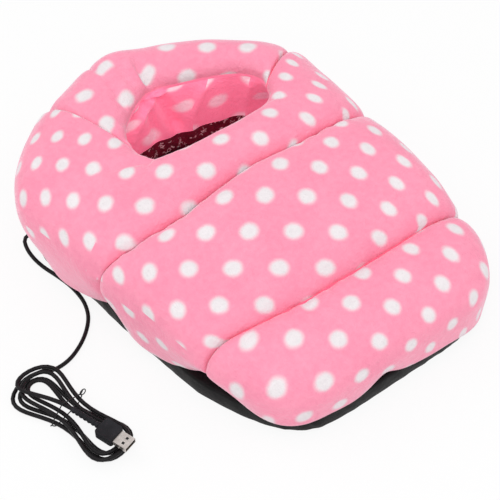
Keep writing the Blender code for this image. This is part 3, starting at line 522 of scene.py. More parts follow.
hem_pulls = []                 # place, how far up, how far it reaches along the hem
for side in (-1, 1):
    hem_pulls += [(outline(side_angle(toe_seam_y, side)), 0.0075, 0.017),
                  (outline(side_angle(instep_seam_y, side)), 0.0055, 0.016),
                  (outline(side_angle(-0.172, side)), -0.0080, 0.042),
                  (outline(side_angle(-0.055, side)), -0.0060, 0.034),
                  (outline(side_angle(0.058, side)), -0.0080, 0.034)]
for turn in (left_seam_edge, right_seam_edge):
    hem_pulls.append((outline(angle_at(turn)), 0.0035, 0.016))
for x, strength, width in ((-0.017, 0.0050, 0.013), (0.030, -0.0050, 0.030),
                           (0.075, -0.0045, 0.030), (-0.050, -0.0030, 0.022)):
    hem_pulls.append((np.array([x, -body_length / 2]), strength, width))
for y, strength in ((0.020, -0.0020), (-0.022, -0.0042), (-0.085, -0.0022)):
    hem_pulls.append((outline(side_angle(y, -1)), strength, 0.030))


def hem_pull(place):
    total = 0.0
    for spot, strength, width in hem_pulls:
        total += strength * math.exp(-float(np.sum((place - spot) ** 2)) / width ** 2)
    return max(total, lowest_pull)


print("pulls on the hem:", len(hem_pulls))

# %% [markdown]
# Each channel is a grid of points: columns of points that start under the hem, go up the wall
# and over the top. A second grid of the same count is its lining. These grids are much finer
# than those of the solids, with cells of a few millimetres, so that they can carry puckers and
# folds.

# %% Rows of the walls
hem_steps = np.linspace(0, 1, 10)[:-1]
tuck_depth, hem_fold, pull_depth = 0.0012, 0.0010, 0.012


def drawn_in(inset, share):
    return tuple(i * share for i in inset)


def wall_rows(angle_of, inner):
    """Points from the tuck under the hem up to the widest line, where a column starts."""
    if inner:
        x, y = outline(angle_of(cavity_inset), cavity_inset)
        foot = lining_foot
        widest = foot + bulge_share * (ceiling(min(y, instep_seam_y)) - foot)
        rows = [np.array([x, y, foot])] * 2
        rows += [np.array([x, y, foot + (widest - foot) * s]) for s in hem_steps]
        return rows + [np.array([x, y, widest])]
    x, y = outline(angle_of(no_inset))
    widest = hem_height + bulge_share * (crown(y) - hem_height)
    pull = hem_pull(np.array([x, y]))
    scale = max(1 + pull / pull_depth, 0.08)
    rows = []
    for share in hem_steps:
        inset = drawn_in(hem_inset, scale * (1 - share) ** 2)
        px, py = outline(angle_of(inset), inset)
        height = hem_height + (widest - hem_height) * share + pull * (1 - share) ** 2
        rows.append(np.array([px, py, height]))
    folded = tuple(i * scale + tuck_depth for i in hem_inset)
    inside = tuple(max(f, s - touch_gap) for f, s in zip(folded, sole_inset))
    fx, fy = outline(angle_of(folded), folded)
    tx, ty = outline(angle_of(inside), inside)
    under = [np.array([tx, ty, max(lining_foot - touch_gap, rows[0][2] + hem_fold)]),
             np.array([fx, fy, rows[0][2] + hem_fold])]
    return under + rows + [np.array([x, y, widest])]


wall_count = len(hem_steps) + 3

# %% [markdown]
# Four grids follow: the toe's columns fan out from its front to the first seam, the instep's
# rows run from one side to the other, and those of the throat and the heel roll over the collar
# into the opening. Columns and rows lie closer together near a seam, where the cloth bends most.


# %% Grids of the four channels
toe_cut = 0.045                # the toe's columns meet its seam this far in from the seam's ends


def spread(count, power):
    even = np.linspace(0, 1, count + 1)
    return power * (1 - np.cos(even * math.pi)) / 2 + (1 - power) * even


def evened(shares, length):
    """Shares of a column, evened out where the column is short."""
    short = max(1 - length / body_width, 0.0)
    return np.linspace(0, 1, len(shares)) * short + np.array(shares) * (1 - short)


def seam_ends(y, inner):
    inset = cavity_inset if inner else no_inset
    return [outline(side_angle(y, side, inset), inset)[0] for side in (-1, 1)]


def between(start_of, end_of, share):
    """Direction of a column on any inset outline, between two ends that stay on their seams."""
    return lambda inset: start_of(inset) + (end_of(inset) - start_of(inset)) * share


def toe_grid(inner):
    y = toe_seam_y - seam_gap / 2
    left, right = seam_ends(y, inner)
    columns = []
    for share in spread(112, 0.35):
        angle_of = between(lambda i: side_angle(y, -1, i), lambda i: side_angle(y, 1, i), share)
        column = wall_rows(angle_of, inner)
        first = column[-1][:2]
        target = np.array([left + toe_cut + (right - left - 2 * toe_cut) * share, y])
        for along in evened(spread(38, 0.8), np.linalg.norm(target - first))[1:]:
            px, py = first + (target - first) * along
            column.append(np.array([px, py, top_height(px, py, inner)]))
        columns.append(column)
    return np.array(columns)


def instep_grid(inner):
    first, last = toe_seam_y + seam_gap / 2, instep_seam_y - seam_gap / 2
    columns = []
    for along in spread(52, 0.8):
        y = first + (last - first) * along
        left, right = seam_ends(y, inner)
        walls = [wall_rows(lambda i, s=side: side_angle(y, s, i), inner) for side in (-1, 1)]
        middle = [np.array([x, y, top_height(x, y, inner)])
                  for x in left + (right - left) * spread(104, 0.6)[1:-1]]
        columns.append(walls[0] + middle + walls[1][::-1])
    return np.array(columns)


def wander(points):
    """Let the two cross seams wander as a hand-stuffed cover's do."""
    moved = np.array(points, dtype=float)
    x, y = moved[..., 0].copy(), moved[..., 1].copy()
    for seam, across, along in (
            (instep_seam_y, (-150, -120, -95, -71, -40, -4, 14, 64, 115, 154),
             (-5, -15, -17, -16, -9, -3, -1, -3, -3, 2)),
            (toe_seam_y, (-135, -115, -93, -44, 14, 86, 134), (1, 0, -4, -8, -7, -5, -6))):
        shift = np.interp(x * 1000, across, along) / 1000
        moved[..., 1] += shift * np.exp(-((y - seam) / 0.034) ** 2)
    return moved


rim_places = [(-25, 88, 75), (0, 90, 87), (30, 81, 102), (60, 59, 114), (90, 32, 123),
              (115, 10, 128), (140, -12, 121), (165, -35, 104), (185, -45, 89), (204, -49, 74),
              (216, -48, 62), (228, -41, 55), (250, -16, 51), (270, 14, 51), (290, 41, 51),
              (310, 66, 54), (323, 80, 62)]          # direction in degrees, x and y in mm


def rim_point(angle):
    """Place on the opening's seam, on a smooth line through the rim's places."""
    turn = (math.degrees(angle) + 25) % 360 - 25
    last = max(i for i, spot in enumerate(rim_places) if spot[0] <= turn + 1e-9)
    four = []
    for k in (-1, 0, 1, 2):
        lap, index = divmod(last + k, len(rim_places))
        at, x, y = rim_places[index]
        four.append((at + 360 * lap, np.array([x, y]) / 1000))
    (t0, p0), (t1, p1), (t2, p2), (t3, p3) = four
    m1 = (p2 - p0) / (t2 - t0) * (t2 - t1)
    m2 = (p3 - p1) / (t3 - t1) * (t2 - t1)
    s = (turn - t1) / (t2 - t1)
    return ((2 * s ** 3 - 3 * s ** 2 + 1) * p1 + (s ** 3 - 2 * s ** 2 + s) * m1
            + (3 * s ** 2 - 2 * s ** 3) * p2 + (s ** 3 - s ** 2) * m2)


def rolled(first, target, share, roll, foot, inner, flat):
    """Point of a column that runs from the edge of the body to the rim of the opening."""
    plan = first[:2] + (target - first[:2]) * share
    length = float(np.linalg.norm(target - first[:2]))
    if inner:
        end = rim_height - rim_open
        steep = (1 - flat) * length / (length + end - foot)
        bent = rise(share) * steep + share * (1 - steep)
        return np.array([*plan, foot + (end - foot) * bent - ceiling_sag * flat * swell(share)])
    top = top_height(*plan, False)
    return np.array([*plan, rim_height + (top - rim_height) * rise((1 - share) * length / roll)])


rim_steps = spread(46, 0.85)
wing_columns, throat_columns, heel_columns = 26, 84, 84
rim_turns = {}                 # directions of the columns' ends on the rim, by count of columns


def collar_columns(spans, inner):
    columns = []
    rim_turns[len(spans)] = np.array([span[2] for span in spans])
    for walls, first, rim_angle, flat in spans:
        target = rim_point(rim_angle)
        length = float(np.linalg.norm(target - first[:2]))
        roll = throat_roll * flat + length / 2 * (1 - flat)
        columns.append(list(walls) + [rolled(first, target, s, roll, first[2], inner, flat)
                                      for s in rim_steps[1:]])
    return np.array(columns)


def throat_grid(inner):
    y = instep_seam_y + seam_gap / 2
    lag = seam_gap / 0.060
    left_edge = (left_seam_foot if inner else left_seam_edge) + lag
    right_edge = (right_seam_foot if inner else right_seam_edge) - lag
    first_rim, last_rim = left_seam_rim + 2 * lag, right_seam_rim - 2 * lag
    spans = []
    for share in np.linspace(0, 1, wing_columns + 1):
        angle_of = between(lambda i: angle_at(left_edge, i), lambda i: side_angle(y, -1, i), share)
        walls = wall_rows(angle_of, inner)
        spans.append((walls, walls[-1], first_rim + (front_rim_left - first_rim) * share, 0.0))
    left, right = seam_ends(y, inner)
    for share in spread(throat_columns, 0.6)[1:-1]:
        x = left + (right - left) * share
        first = np.array([x, y, top_height(x, y, inner)])
        rim_angle = front_rim_left + (front_rim_right - front_rim_left) * share
        spans.append(([first] * wall_count, first, rim_angle, swell(share)))
    for share in np.linspace(0, 1, wing_columns + 1):
        angle_of = between(lambda i: side_angle(y, 1, i) - math.tau,
                           lambda i: angle_at(right_edge, i), share)
        walls = wall_rows(angle_of, inner)
        rim_angle = front_rim_right + (last_rim - front_rim_right) * share
        spans.append((walls, walls[-1], rim_angle, 0.0))
    return collar_columns(spans, inner)


def heel_grid(inner):
    right_edge = right_seam_foot if inner else right_seam_edge
    left_edge = left_seam_foot if inner else left_seam_edge
    spans = []
    for share in spread(heel_columns, 0.5):
        turn = right_edge + (left_edge - right_edge) * share
        walls = wall_rows(lambda i, t=turn: angle_at(t, i), inner)
        rim_angle = right_seam_rim - math.tau + (left_seam_rim - right_seam_rim + math.tau) * share
        spans.append((walls, walls[-1], rim_angle, 0.0))
    return collar_columns(spans, inner)


print("rows of a wall:", wall_count, "rows over the collar:", len(rim_steps))

# %% [markdown]
# Cloth that is sewn and stuffed is never smooth. At a seam it is drawn in to a sharp valley,
# and because the thread gathers it, short puckers run out from the valley on both sides. Wider,
# softer dents come from the lumpy stuffing. All of these are moves of the grid's points: the
# valley towards the lining, the puckers and dents along the surface's own direction.


# %% Valleys, puckers and dents
def normals_of(grid, way):
    """Unit directions out of a grid, on the side away from the way vectors."""
    out = np.cross(np.gradient(grid, axis=0), np.gradient(grid, axis=1))
    size = np.linalg.norm(out, axis=-1, keepdims=True)
    poor = size < size.max() * 1e-4
    out = np.where(poor, -way, out / np.where(poor, 1.0, size))
    return -out if np.sum(out * way) > 0 else out


def waves(along, seed, lengths=(0.021, 0.0135, 0.0088)):
    """Uneven waves along a seam, the same on both sides of it, between -1 and 1."""
    total = np.zeros_like(along)
    for k, length in enumerate(lengths):
        shift = 1.7 * seed + 2.3 * k
        drift = 0.8 * np.sin(along / 0.047 + shift)
        total += np.sin(along / length * math.tau + drift * 3 + shift) / (k + 1.4)
    strength = 0.55 + 0.45 * np.sin(along / 0.063 * 2.1 + seed)
    return total / 1.5 * strength


def lumps(points, size, seed):
    """Smooth, uneven lumps of about this size, between -1 and 1."""
    shift = Vector((seed * 3.1, seed * 1.7, seed * 2.3))
    flat = [noise.noise(Vector(p) / size + shift) for p in points.reshape(-1, 3)]
    return np.array(flat).reshape(points.shape[:-1])


def nearest(points, line):
    """For each point of a grid: distance to a seam's line, and how far along the line it is."""
    line = np.array(line)
    run = run_along(line)
    tree = KDTree(len(line))
    for i, spot in enumerate(line):
        tree.insert(spot, i)
    tree.balance()
    found = [tree.find(p) for p in points.reshape(-1, 3)]
    distance = np.array([f[2] for f in found]).reshape(points.shape[:-1])
    along = np.array([run[f[1]] for f in found]).reshape(points.shape[:-1])
    return distance, along


valley_depth, valley_width = 0.0050, 0.012
calm_reach = 0.012
pucker_depth, pucker_reach = 0.0013, 0.011
dent_depth, dent_size = 0.0022, 0.060


def quilted(outer, inner, seams, seed):
    """Cover grid with its valleys, puckers and dents."""
    gap = np.linalg.norm(inner - outer, axis=-1, keepdims=True)
    way = (inner - outer) / np.maximum(gap, 1e-6)
    out = normals_of(outer, way)
    room = np.clip((gap[..., 0] - 0.0035) / 0.016, 0.0, 1.0)
    moved = outer.copy()
    calm = np.ones(outer.shape[:-1])
    for number, (line, strength) in enumerate(seams):
        distance, along = nearest(outer, line)
        share = np.clip(distance / valley_width, 0, 1)
        valley = 1 - (1 - (1 - share) ** 2.0) ** (1 / 2.0)
        moved += way * (valley * valley_depth * strength * room)[..., None]
        near = (1 - np.exp(-distance / 0.0022)) * np.exp(-distance / pucker_reach)
        pucker = waves(along, seed + number) * near * pucker_depth * (0.6 + 0.8 * strength)
        moved += out * (pucker * np.clip(gap[..., 0] / 0.010, 0.2, 1))[..., None]
        calm *= 1 - np.exp(-distance / calm_reach)
    dents = lumps(outer, dent_size, seed) + 0.35 * lumps(outer, dent_size * 0.42, seed + 7)
    return moved + out * (dents * dent_depth * calm * room)[..., None]


print("valleys are", valley_depth, "m deep and puckers", pucker_depth)

# %% [markdown]
# The lining round the opening is sewn from upright panels. Each panel is its own piece of cloth,
# so its dots start anew, and it bulges between its seams. A panel is given by the direction of
# its left edge, seen from the middle of the opening, and by the place of one dot: its direction
# and its depth in mm. What lies past the last edge belongs to the last panel.

# %% Panels and folds of the lining
fold_depth, fold_length, panel_valley = 0.0022, 0.041, 0.0050
calm_columns = 12              # flat cloth beside the two sewn ends
panel_reach = 0.0045
panels = [(13, -8, 30), (62, 43, 28), (108, 72, 26), (150, 119, 33), (204, 165, 12),
          (265, 230, 24), (335, 300, 24)]


def down_the_rim(grid):
    """For each point: its distance along the rim, and how far down the cloth it hangs."""
    steps = np.linalg.norm(np.diff(grid, axis=1), axis=2)
    run = np.concatenate([np.zeros((len(grid), 1)), np.cumsum(steps, axis=1)], axis=1)
    return run_along(grid[:, -1]), run[:, -1:] - run


def in_panels(grid, turns):
    """Flat pattern of a hanging lining, panel by panel, and the distance to the panel's edge."""
    along, down = down_the_rim(grid)
    turns = np.degrees(turns)
    order = np.argsort(turns)
    places = np.interp([edge for edge, _, _ in panels], turns[order], along[order])
    number = np.minimum(np.searchsorted([edge for edge, _, _ in panels], turns), len(panels) - 1)
    across = np.interp([panels[n][1] for n in number], turns[order], along[order])
    flat = np.stack([down - np.array([panels[n][2] for n in number])[:, None] / 1000,
                     np.repeat((along - across)[:, None], grid.shape[1], axis=1)], axis=-1)
    return flat, np.abs(along[:, None] - places).min(axis=1)


def folded(inner, outer, turns, seed):
    """Lining grid with its folds. Only the lining round the opening hangs from the rim."""
    gap = np.linalg.norm(inner - outer, axis=-1, keepdims=True)
    way = (outer - inner) / np.maximum(gap, 1e-6)
    out = normals_of(inner, way)
    room = np.clip((gap[..., 0] - 0.0035) / 0.014, 0.0, 1.0)
    depth = lumps(inner, 0.045, seed) * 0.0016
    if turns is not None:
        along = np.arctan2(inner[..., 1] - rim_y, inner[..., 0] - rim_x) * 0.055
        down = np.clip((rim_height - inner[..., 2]) / 0.050, 0.0, 1.0)
        depth = depth + waves(along, seed, (fold_length, 0.023, 0.0155)) * fold_depth * down
        edge = np.exp(-in_panels(inner, turns)[1] / panel_reach)[:, None]
        depth = depth + edge * panel_valley * np.clip(down_the_rim(inner)[1] / 0.010, 0, 1)
    ends = np.minimum(np.arange(len(inner)), np.arange(len(inner))[::-1])
    calm = np.clip(ends / calm_columns, 0.0, 1.0)[:, None]
    return inner + out * (depth * room * calm)[..., None]


print("lining folds are", fold_depth, "m deep, panels:", len(panels))

# %% [markdown]
# Where the collar was pushed together, the cloth folds over itself: a sharp line with a raised
# lip on one side. The lines are given by places in mm on the cover and down the lining. Near
# the rim the stuffing is thin, so a crease there may only take a share of its thickness.

# %% Creases
crease_share = 0.40            # of the stuffing's thickness
crease_width, lip_place, lip_reach, crease_end = 0.0050, 0.008, 0.006, 0.012
creases = {                    # places in mm, the lip's side, depth of the line, height of the lip
    "heel": [([(6, 158, 107), (3, 146, 107), (2, 133, 102), (6, 127, 87), (10, 123, 79),
               (14, 121, 67), (19, 119, 52), (25, 119, 37)], (-1.0, -0.3), 0.0100, 0.0040),
             ([(-14, 166, 106), (-12, 150, 107), (-12, 138, 106), (-11, 127, 100)], (-1.0, 0.0),
              0.0042, 0.0010),
             ([(-11, 127, 96), (-7, 124, 81), (-3, 122, 66), (-1, 120, 54), (0, 120, 35)],
              (-1.0, 0.0), 0.0060, 0.0030)],
    "throat": [([(-95, 60, 105), (-80, 59, 106), (-69, 57, 105), (-57, 53, 105), (-49, 46, 104)],
                (-0.3, 1.0), 0.0040, 0.0016)],
}


def creased(grid, way, gap, lines):
    """Grid with its creases. Way points into the stuffing, which is as thick as the gap."""
    moved = grid.copy()
    for places, side, depth, lip in lines:
        places = np.array(places) / 1000
        steps = np.linspace(0, len(places) - 1, 12 * len(places))
        line = np.stack([np.interp(steps, range(len(places)), places[:, k]) for k in range(3)],
                        axis=-1)
        distance, along = nearest(grid, line)
        run = run_along(line)
        spot = line[np.searchsorted(run, along.ravel() - 1e-9).clip(0, len(line) - 1)]
        beside = ((grid - spot.reshape(grid.shape))[..., :2] @ np.array(side)) > 0
        fade = np.clip(np.minimum(along, run[-1] - along) / crease_end, 0, 1)
        raised = lip * np.exp(-((distance - lip_place) / lip_reach) ** 2) * beside
        move = (depth * np.exp(-(distance / crease_width) ** 2) - raised) * fade
        move = np.clip(move, -crease_share * gap[..., 0], crease_share * gap[..., 0])
        moved += way * move[..., None]
    return moved


print("creases:", sum(len(lines) for lines in creases.values()))

# %% [markdown]
# The dots are printed on flat cloth before it is cut, so the pattern has to follow the cloth and
# not the room. Each grid is therefore laid flat: every column is rolled out straight at its true
# length, and then all the points pull and push each other until the distances between
# neighbours are those on the real surface. The result is a flat pattern in metres, which lies
# like the warmer seen from above.


# %% Flat pattern of the cloth
def laid_flat(grid, anchor, rounds=500):
    """Flat places of a grid's points, at their true distances."""
    steps = np.linalg.norm(np.diff(grid, axis=1), axis=2)
    run = np.concatenate([np.zeros((len(grid), 1)), np.cumsum(steps, axis=1)], axis=1)
    way = (grid[:, -1] - grid[:, anchor])[:, :2]
    way = way / np.maximum(np.linalg.norm(way, axis=1, keepdims=True), 1e-6)
    flat = grid[:, anchor, None, :2] + way[:, None] * (run - run[:, anchor, None])[..., None]
    everything = slice(None)
    ahead, behind = slice(1, None), slice(None, -1)
    pairs = [((ahead, everything), (behind, everything)),
             ((everything, ahead), (everything, behind)),
             ((ahead, ahead), (behind, behind)), ((ahead, behind), (behind, ahead))]
    lengths = [np.linalg.norm(grid[a] - grid[b], axis=-1) for a, b in pairs]
    for _ in range(rounds):
        move = np.zeros_like(flat)
        for (a, b), length in zip(pairs, lengths):
            gap = flat[a] - flat[b]
            now = np.maximum(np.linalg.norm(gap, axis=-1), 1e-7)
            push = gap * ((length - now) / now * 0.5)[..., None]
            move[a] += push
            move[b] -= push
        flat += move * 0.28
    return flat


as_above = ((0, 100, 0, 0, 0, 0, 0), (0, 0, 100, 0, 0, 0, 0))


def cut_pattern(grid, anchor, layout):
    """Flat pattern on the printed cloth. The layout gives, along and across the cloth, the
    shift in mm, and how the cloth is stretched and bowed, in mm for 100 mm of pattern."""
    u, v = np.moveaxis(laid_flat(grid, anchor), -1, 0) / 0.1
    terms = np.stack([np.ones_like(u), u, v, u * u, u * v, v * v, u ** 3], axis=-1)
    return terms @ np.array(layout).T / 1000


print("flat patterns are worked out cloth by cloth")

# %% [markdown]
# Now each pair of grids becomes one closed, padded piece: the cover outside, the lining inside
# and narrow walls of cloth where they are sewn together. Points that fell together are merged,
# and one subdivision rounds the folded edges.


# %% From two grids to a closed piece
free_place = (0.0275, 0.0)     # place on the printed cloth between the dots
widest_cell = 0.012            # cells wider than this, as across a panel's seam, get no dots


def from_work(name, work, mesh):
    """Object with the mesh that was worked on."""
    work.to_mesh(mesh)
    work.free()
    made = bpy.data.objects.new(name, mesh)
    bpy.context.collection.objects.link(made)
    return made


def grid_faces(count, rows, keep):
    """Kept cells of a grid as corner numbers, and the edges round them."""
    cells, edges = [], {}
    for c in range(count - 1):
        for r in range(rows - 1):
            if not keep(c, r):
                continue
            corners = (c * rows + r, (c + 1) * rows + r, (c + 1) * rows + r + 1, c * rows + r + 1)
            cells.append(corners)
            for edge in zip(corners, corners[1:] + corners[:1]):
                key = tuple(sorted(edge))
                edges[key] = None if key in edges else edge
    return cells, [edge for edge in edges.values() if edge]


def padded_shell(name, outer, inner, keep, flat_outer, flat_inner):
    """Closed mesh of a cover (material 0), a lining (1) and the sewn edges (2)."""
    count, rows = outer.shape[:2]
    total = count * rows
    points = np.concatenate([outer.reshape(-1, 3), inner.reshape(-1, 3)])
    flat = np.concatenate([flat_outer.reshape(-1, 2), flat_inner.reshape(-1, 2)])
    cells, edges = grid_faces(count, rows, keep)
    faces = cells + [tuple(i + total for i in c[::-1]) for c in cells]
    faces += [(b, a, a + total, b + total) for a, b in edges]
    mesh = bpy.data.meshes.new(name)
    mesh.from_pydata([tuple(p) for p in points], [], faces)
    kinds = [0] * len(cells) + [1] * len(cells) + [2] * len(edges)
    mesh.polygons.foreach_set("material_index", kinds)
    corners = np.zeros(len(mesh.loops), dtype=int)
    mesh.loops.foreach_get("vertex_index", corners)
    pattern = flat[corners]
    pattern[8 * len(cells):] = free_place
    squares = pattern[:8 * len(cells)].reshape(-1, 4, 2)
    squares[np.ptp(squares, axis=1).max(axis=1) > widest_cell] = free_place
    mesh.uv_layers.new(name="cloth").data.foreach_set("uv", pattern.ravel())
    work = bmesh.new()
    work.from_mesh(mesh)
    bmesh.ops.delete(work, geom=[v for v in work.verts if not v.link_faces], context="VERTS")
    bmesh.ops.remove_doubles(work, verts=work.verts, dist=0.00002)
    bmesh.ops.dissolve_degenerate(work, edges=work.edges, dist=0.00001)
    bmesh.ops.recalc_face_normals(work, faces=work.faces)
    return from_work(name, work, mesh)


def pick(piece):
    """Make one piece the only selected and the active one."""
    bpy.ops.object.select_all(action="DESELECT")
    piece.select_set(True)
    bpy.context.view_layer.objects.active = piece


def apply_all(piece):
    pick(piece)
    for modifier in list(piece.modifiers):
        bpy.ops.object.modifier_apply(modifier=modifier.name)

# %% [markdown]
# The fleece itself is short, matt pile. Four effects make it: the dots with soft edges, a fine
# nap that mottles the colour and roughens the surface, the sheen of fibres seen from the side,
# which the shader has built in, and, on the dotted cloth, a painted sheen: a lighter colour where
# the cloth turns away from the view. Dots and nap are node groups, because the cover, the lining
# and the plush use them with their own values. The rows of dots are staggered, so the group
# measures the distance to two equal patterns of dots that lie half a cell apart.

# %% Groups of nodes for the cloth
dot_cell = (0.055, 0.039, 0.0)     # the dots of every second row lie in the middle of this cell
VALUE, VECTOR = "NodeSocketFloat", "NodeSocketVector"


def new_group(name, inputs, outputs):
    """Empty node group with named sockets."""
    group = bpy.data.node_groups.new(name, "ShaderNodeTree")
    for label, kind, value in inputs:
        socket = group.interface.new_socket(label, in_out="INPUT", socket_type=kind)
        if value is not None:
            socket.default_value = value
    for label in outputs:
        group.interface.new_socket(label, in_out="OUTPUT", socket_type=VALUE)
    return group, group.nodes.new("NodeGroupInput").outputs, group.nodes.new("NodeGroupOutput")


def noise_node(tree, vector, scale, detail=3.0, roughness=0.5):
    return add(tree, "TexNoise", {"Vector": vector, "Scale": scale, "Detail": detail,
                                  "Roughness": roughness})["Fac"]


def blended(tree, first, first_part, second, second_part):
    """Sum of two values, each times its part."""
    return math_node(tree, "ADD", math_node(tree, "MULTIPLY", first, first_part),
                     math_node(tree, "MULTIPLY", second, second_part))


dots, given, leave = new_group(
    "dots", [("Flat", VECTOR, None), ("Fray", VALUE, 0.5), ("Radius", VALUE, 0.0070),
             ("Blur", VALUE, 0.0026)], ["Mask"])
distances = []
for stagger in (0.5, 1.0):
    way = add(dots, "VectorMath", {0: given["Flat"], 1: (1 / dot_cell[0], 1 / dot_cell[1], 0.0),
                                   2: (stagger, stagger, 0.5)}, operation="MULTIPLY_ADD")[0]
    way = add(dots, "VectorMath", {0: way}, operation="FRACTION")[0]
    way = add(dots, "VectorMath", {0: way, 1: (0.5, 0.5, 0.5)}, operation="SUBTRACT")[0]
    way = add(dots, "VectorMath", {0: way, 1: dot_cell}, operation="MULTIPLY")[0]
    distances.append(add(dots, "VectorMath", {0: way}, operation="LENGTH")["Value"])
frayed = math_node(dots, "SUBTRACT", given["Fray"], 0.5)
frayed = math_node(dots, "MULTIPLY", frayed, given["Blur"])
metres = math_node(dots, "ADD", math_node(dots, "MINIMUM", *distances), frayed)
edges = [math_node(dots, how, given["Radius"], given["Blur"]) for how in ("ADD", "SUBTRACT")]
feed(leave, {"Mask": add(dots, "MapRange", {"Value": metres, "From Min": edges[0],
                                            "From Max": edges[1]},
                         interpolation_type="SMOOTHSTEP")[0]})

nap, given, leave = new_group("nap", [("Place", VECTOR, None), ("Fibre", VALUE, 900.0)],
                              ["Height", "Mottle", "Fray"])
scaled = add(nap, "VectorMath", {0: given["Place"], "Scale": given["Fibre"]}, operation="SCALE")[0]
fine, tufts, patches = [noise_node(nap, scaled, scale, 2.0, roughness)
                        for scale, roughness in ((1.0, 0.6), (0.33, 0.55), (0.045, 0.5))]
feed(leave, {"Height": blended(nap, fine, 0.6, tufts, 0.8), "Fray": tufts,
             "Mottle": blended(nap, tufts, 0.55, patches, 0.45)})
print("groups:", dots.name, nap.name)

# %% [markdown]
# Two fleece finishes use these groups. The cover is a clear pink, and the lining is the same
# cloth in a deeper pink. In the shade of the opening it comes out much too dark, so it also gets
# a weak glow of its own. That is a choice for the look, and not something that real cloth does.

# %% Fleece
mottle_range = (0.36, 0.64)        # values of the mottle that get the darkest and lightest colour


def object_place(tree):
    return add(tree, "TexCoord")["Object"]


def colour_ramp(tree, source, places, colours):
    """Two colours over a value."""
    ramp = tree.nodes.new("ShaderNodeValToRGB")
    for element, place, colour in zip(ramp.color_ramp.elements, places, colours):
        element.position, element.color = place, (*colour, 1.0)
    feed(ramp, {0: source})
    return ramp.outputs[0]


def bump(tree, height, strength, distance):
    return add(tree, "Bump", {"Strength": strength, "Distance": distance, "Height": height})[0]


def mixed(tree, mask, first, second):
    """Colour between two colours, by a mask."""
    return add(tree, "Mix", {"Factor": mask, "A": first, "B": second}, data_type="RGBA")["Result"]


def fleece(name, cloth, print_, sheen, tint=(1.0, 0.80, 0.87), rough=0.0018):
    """Short pile. Cloth and print are the darkest and lightest colours of ground and dots."""
    made, tree, shader = new_material(name)
    pile = add(tree, "Group", {"Fibre": 620.0, "Place": object_place(tree)}, node_tree=nap)
    colour = colour_ramp(tree, pile["Mottle"], mottle_range, cloth)
    if print_:
        flat = add(tree, "UVMap", uv_map="cloth")[0]
        mask = add(tree, "Group", {"Flat": flat, "Fray": pile["Fray"]}, node_tree=dots)["Mask"]
        colour = mixed(tree, mask, colour, colour_ramp(tree, pile["Mottle"], mottle_range, print_))
        # painted sheen: the colour is made lighter where the surface turns away from the view
        facing = add(tree, "LayerWeight", {"Blend": 0.30})["Facing"]
        painted_sheen = add(tree, "MapRange", {"Value": facing, "From Min": 0.42, "To Max": 0.62})[0]
        colour = mixed(tree, painted_sheen, colour, (0.97, 0.66, 0.76, 1.0))
    feed(shader, {"Base Color": colour, "Roughness": 0.95, "Specular IOR Level": 0.15,
                  "Sheen Weight": sheen, "Sheen Roughness": 0.34, "Sheen Tint": (*tint, 1.0),
                  "Normal": bump(tree, pile["Height"], 0.65, rough)})
    return made, tree, shader, colour


pink_fleece = fleece("pink_fleece", ((0.93, 0.290, 0.425), (0.98, 0.340, 0.475)),
                     ((0.78, 0.73, 0.75), (0.84, 0.79, 0.81)), 0.70)[0]
pink_lining, _, shader, _ = fleece("pink_lining", ((0.95, 0.230, 0.370), (1.0, 0.280, 0.420)),
                                   ((0.80, 0.72, 0.75), (0.88, 0.80, 0.83)), 0.30)
feed(shader, {"Emission Color": (1.0, 0.20, 0.36, 1.0), "Emission Strength": 0.30})
print("fleece finishes made")

# %% [markdown]
# The four channels are made from their grids. Each entry gives the grid, the seams that border
# it with how hard each is drawn in, which cells hold cloth, and where the cutter laid the dots.

# %% Toe, instep, throat and heel
dot_layout = {
    "toe": ((-83, 114, -61, 11, 7, -18, 0), (126, 2, 50, 4, 0, -15, 0)),
    "instep": ((-9, 92, -25, 7, 1, -21, 10), (73, -1, 95, 5, 2, -5, 4)),
    "throat": ((44, 89, 8, 11, 24, -18, 10), (-34, -9, 100, 4, 4, 11, 9)),
    "heel": ((-23, 91, -7, 0, 0, 0, 0), (-125, 9, 104, 0, 0, 0, 0)),
}
heel_fold = 62                 # column of the heel that is folded in over the opening
crease_foot, crease_blend = 0.024, 0.012       # height where the lining's creases fade out
first_middle, last_middle = wing_columns, wing_columns + throat_columns
lump_place, lump_height, lump_radius = np.array([-0.013, 0.170]), 0.0070, 0.034


def toe_seams(g):
    return [(np.concatenate([g[0], g[:, -1], g[-1, ::-1]]), 1.0)]


def instep_seams(g):
    return [(g[0], 1.0), (g[-1], 1.0)]


def throat_seams(g):
    low = wall_count - 1
    cross = np.concatenate([g[first_middle, :low], g[first_middle:last_middle + 1, low],
                            g[last_middle, :low][::-1]])
    return [(cross, 1.0), (g[0], 1.25), (g[-1], 0.9), (g[:, -1], 0.3)]


def heel_seams(g):
    return [(g[0], 0.9), (g[-1], 1.25), (g[:, -1], 0.3), (g[heel_fold, wall_count:], 0.8)]


def throat_keeps(c, r):
    return r >= wall_count - 1 or not first_middle <= c < last_middle


def keeps_all(c, r):
    return True


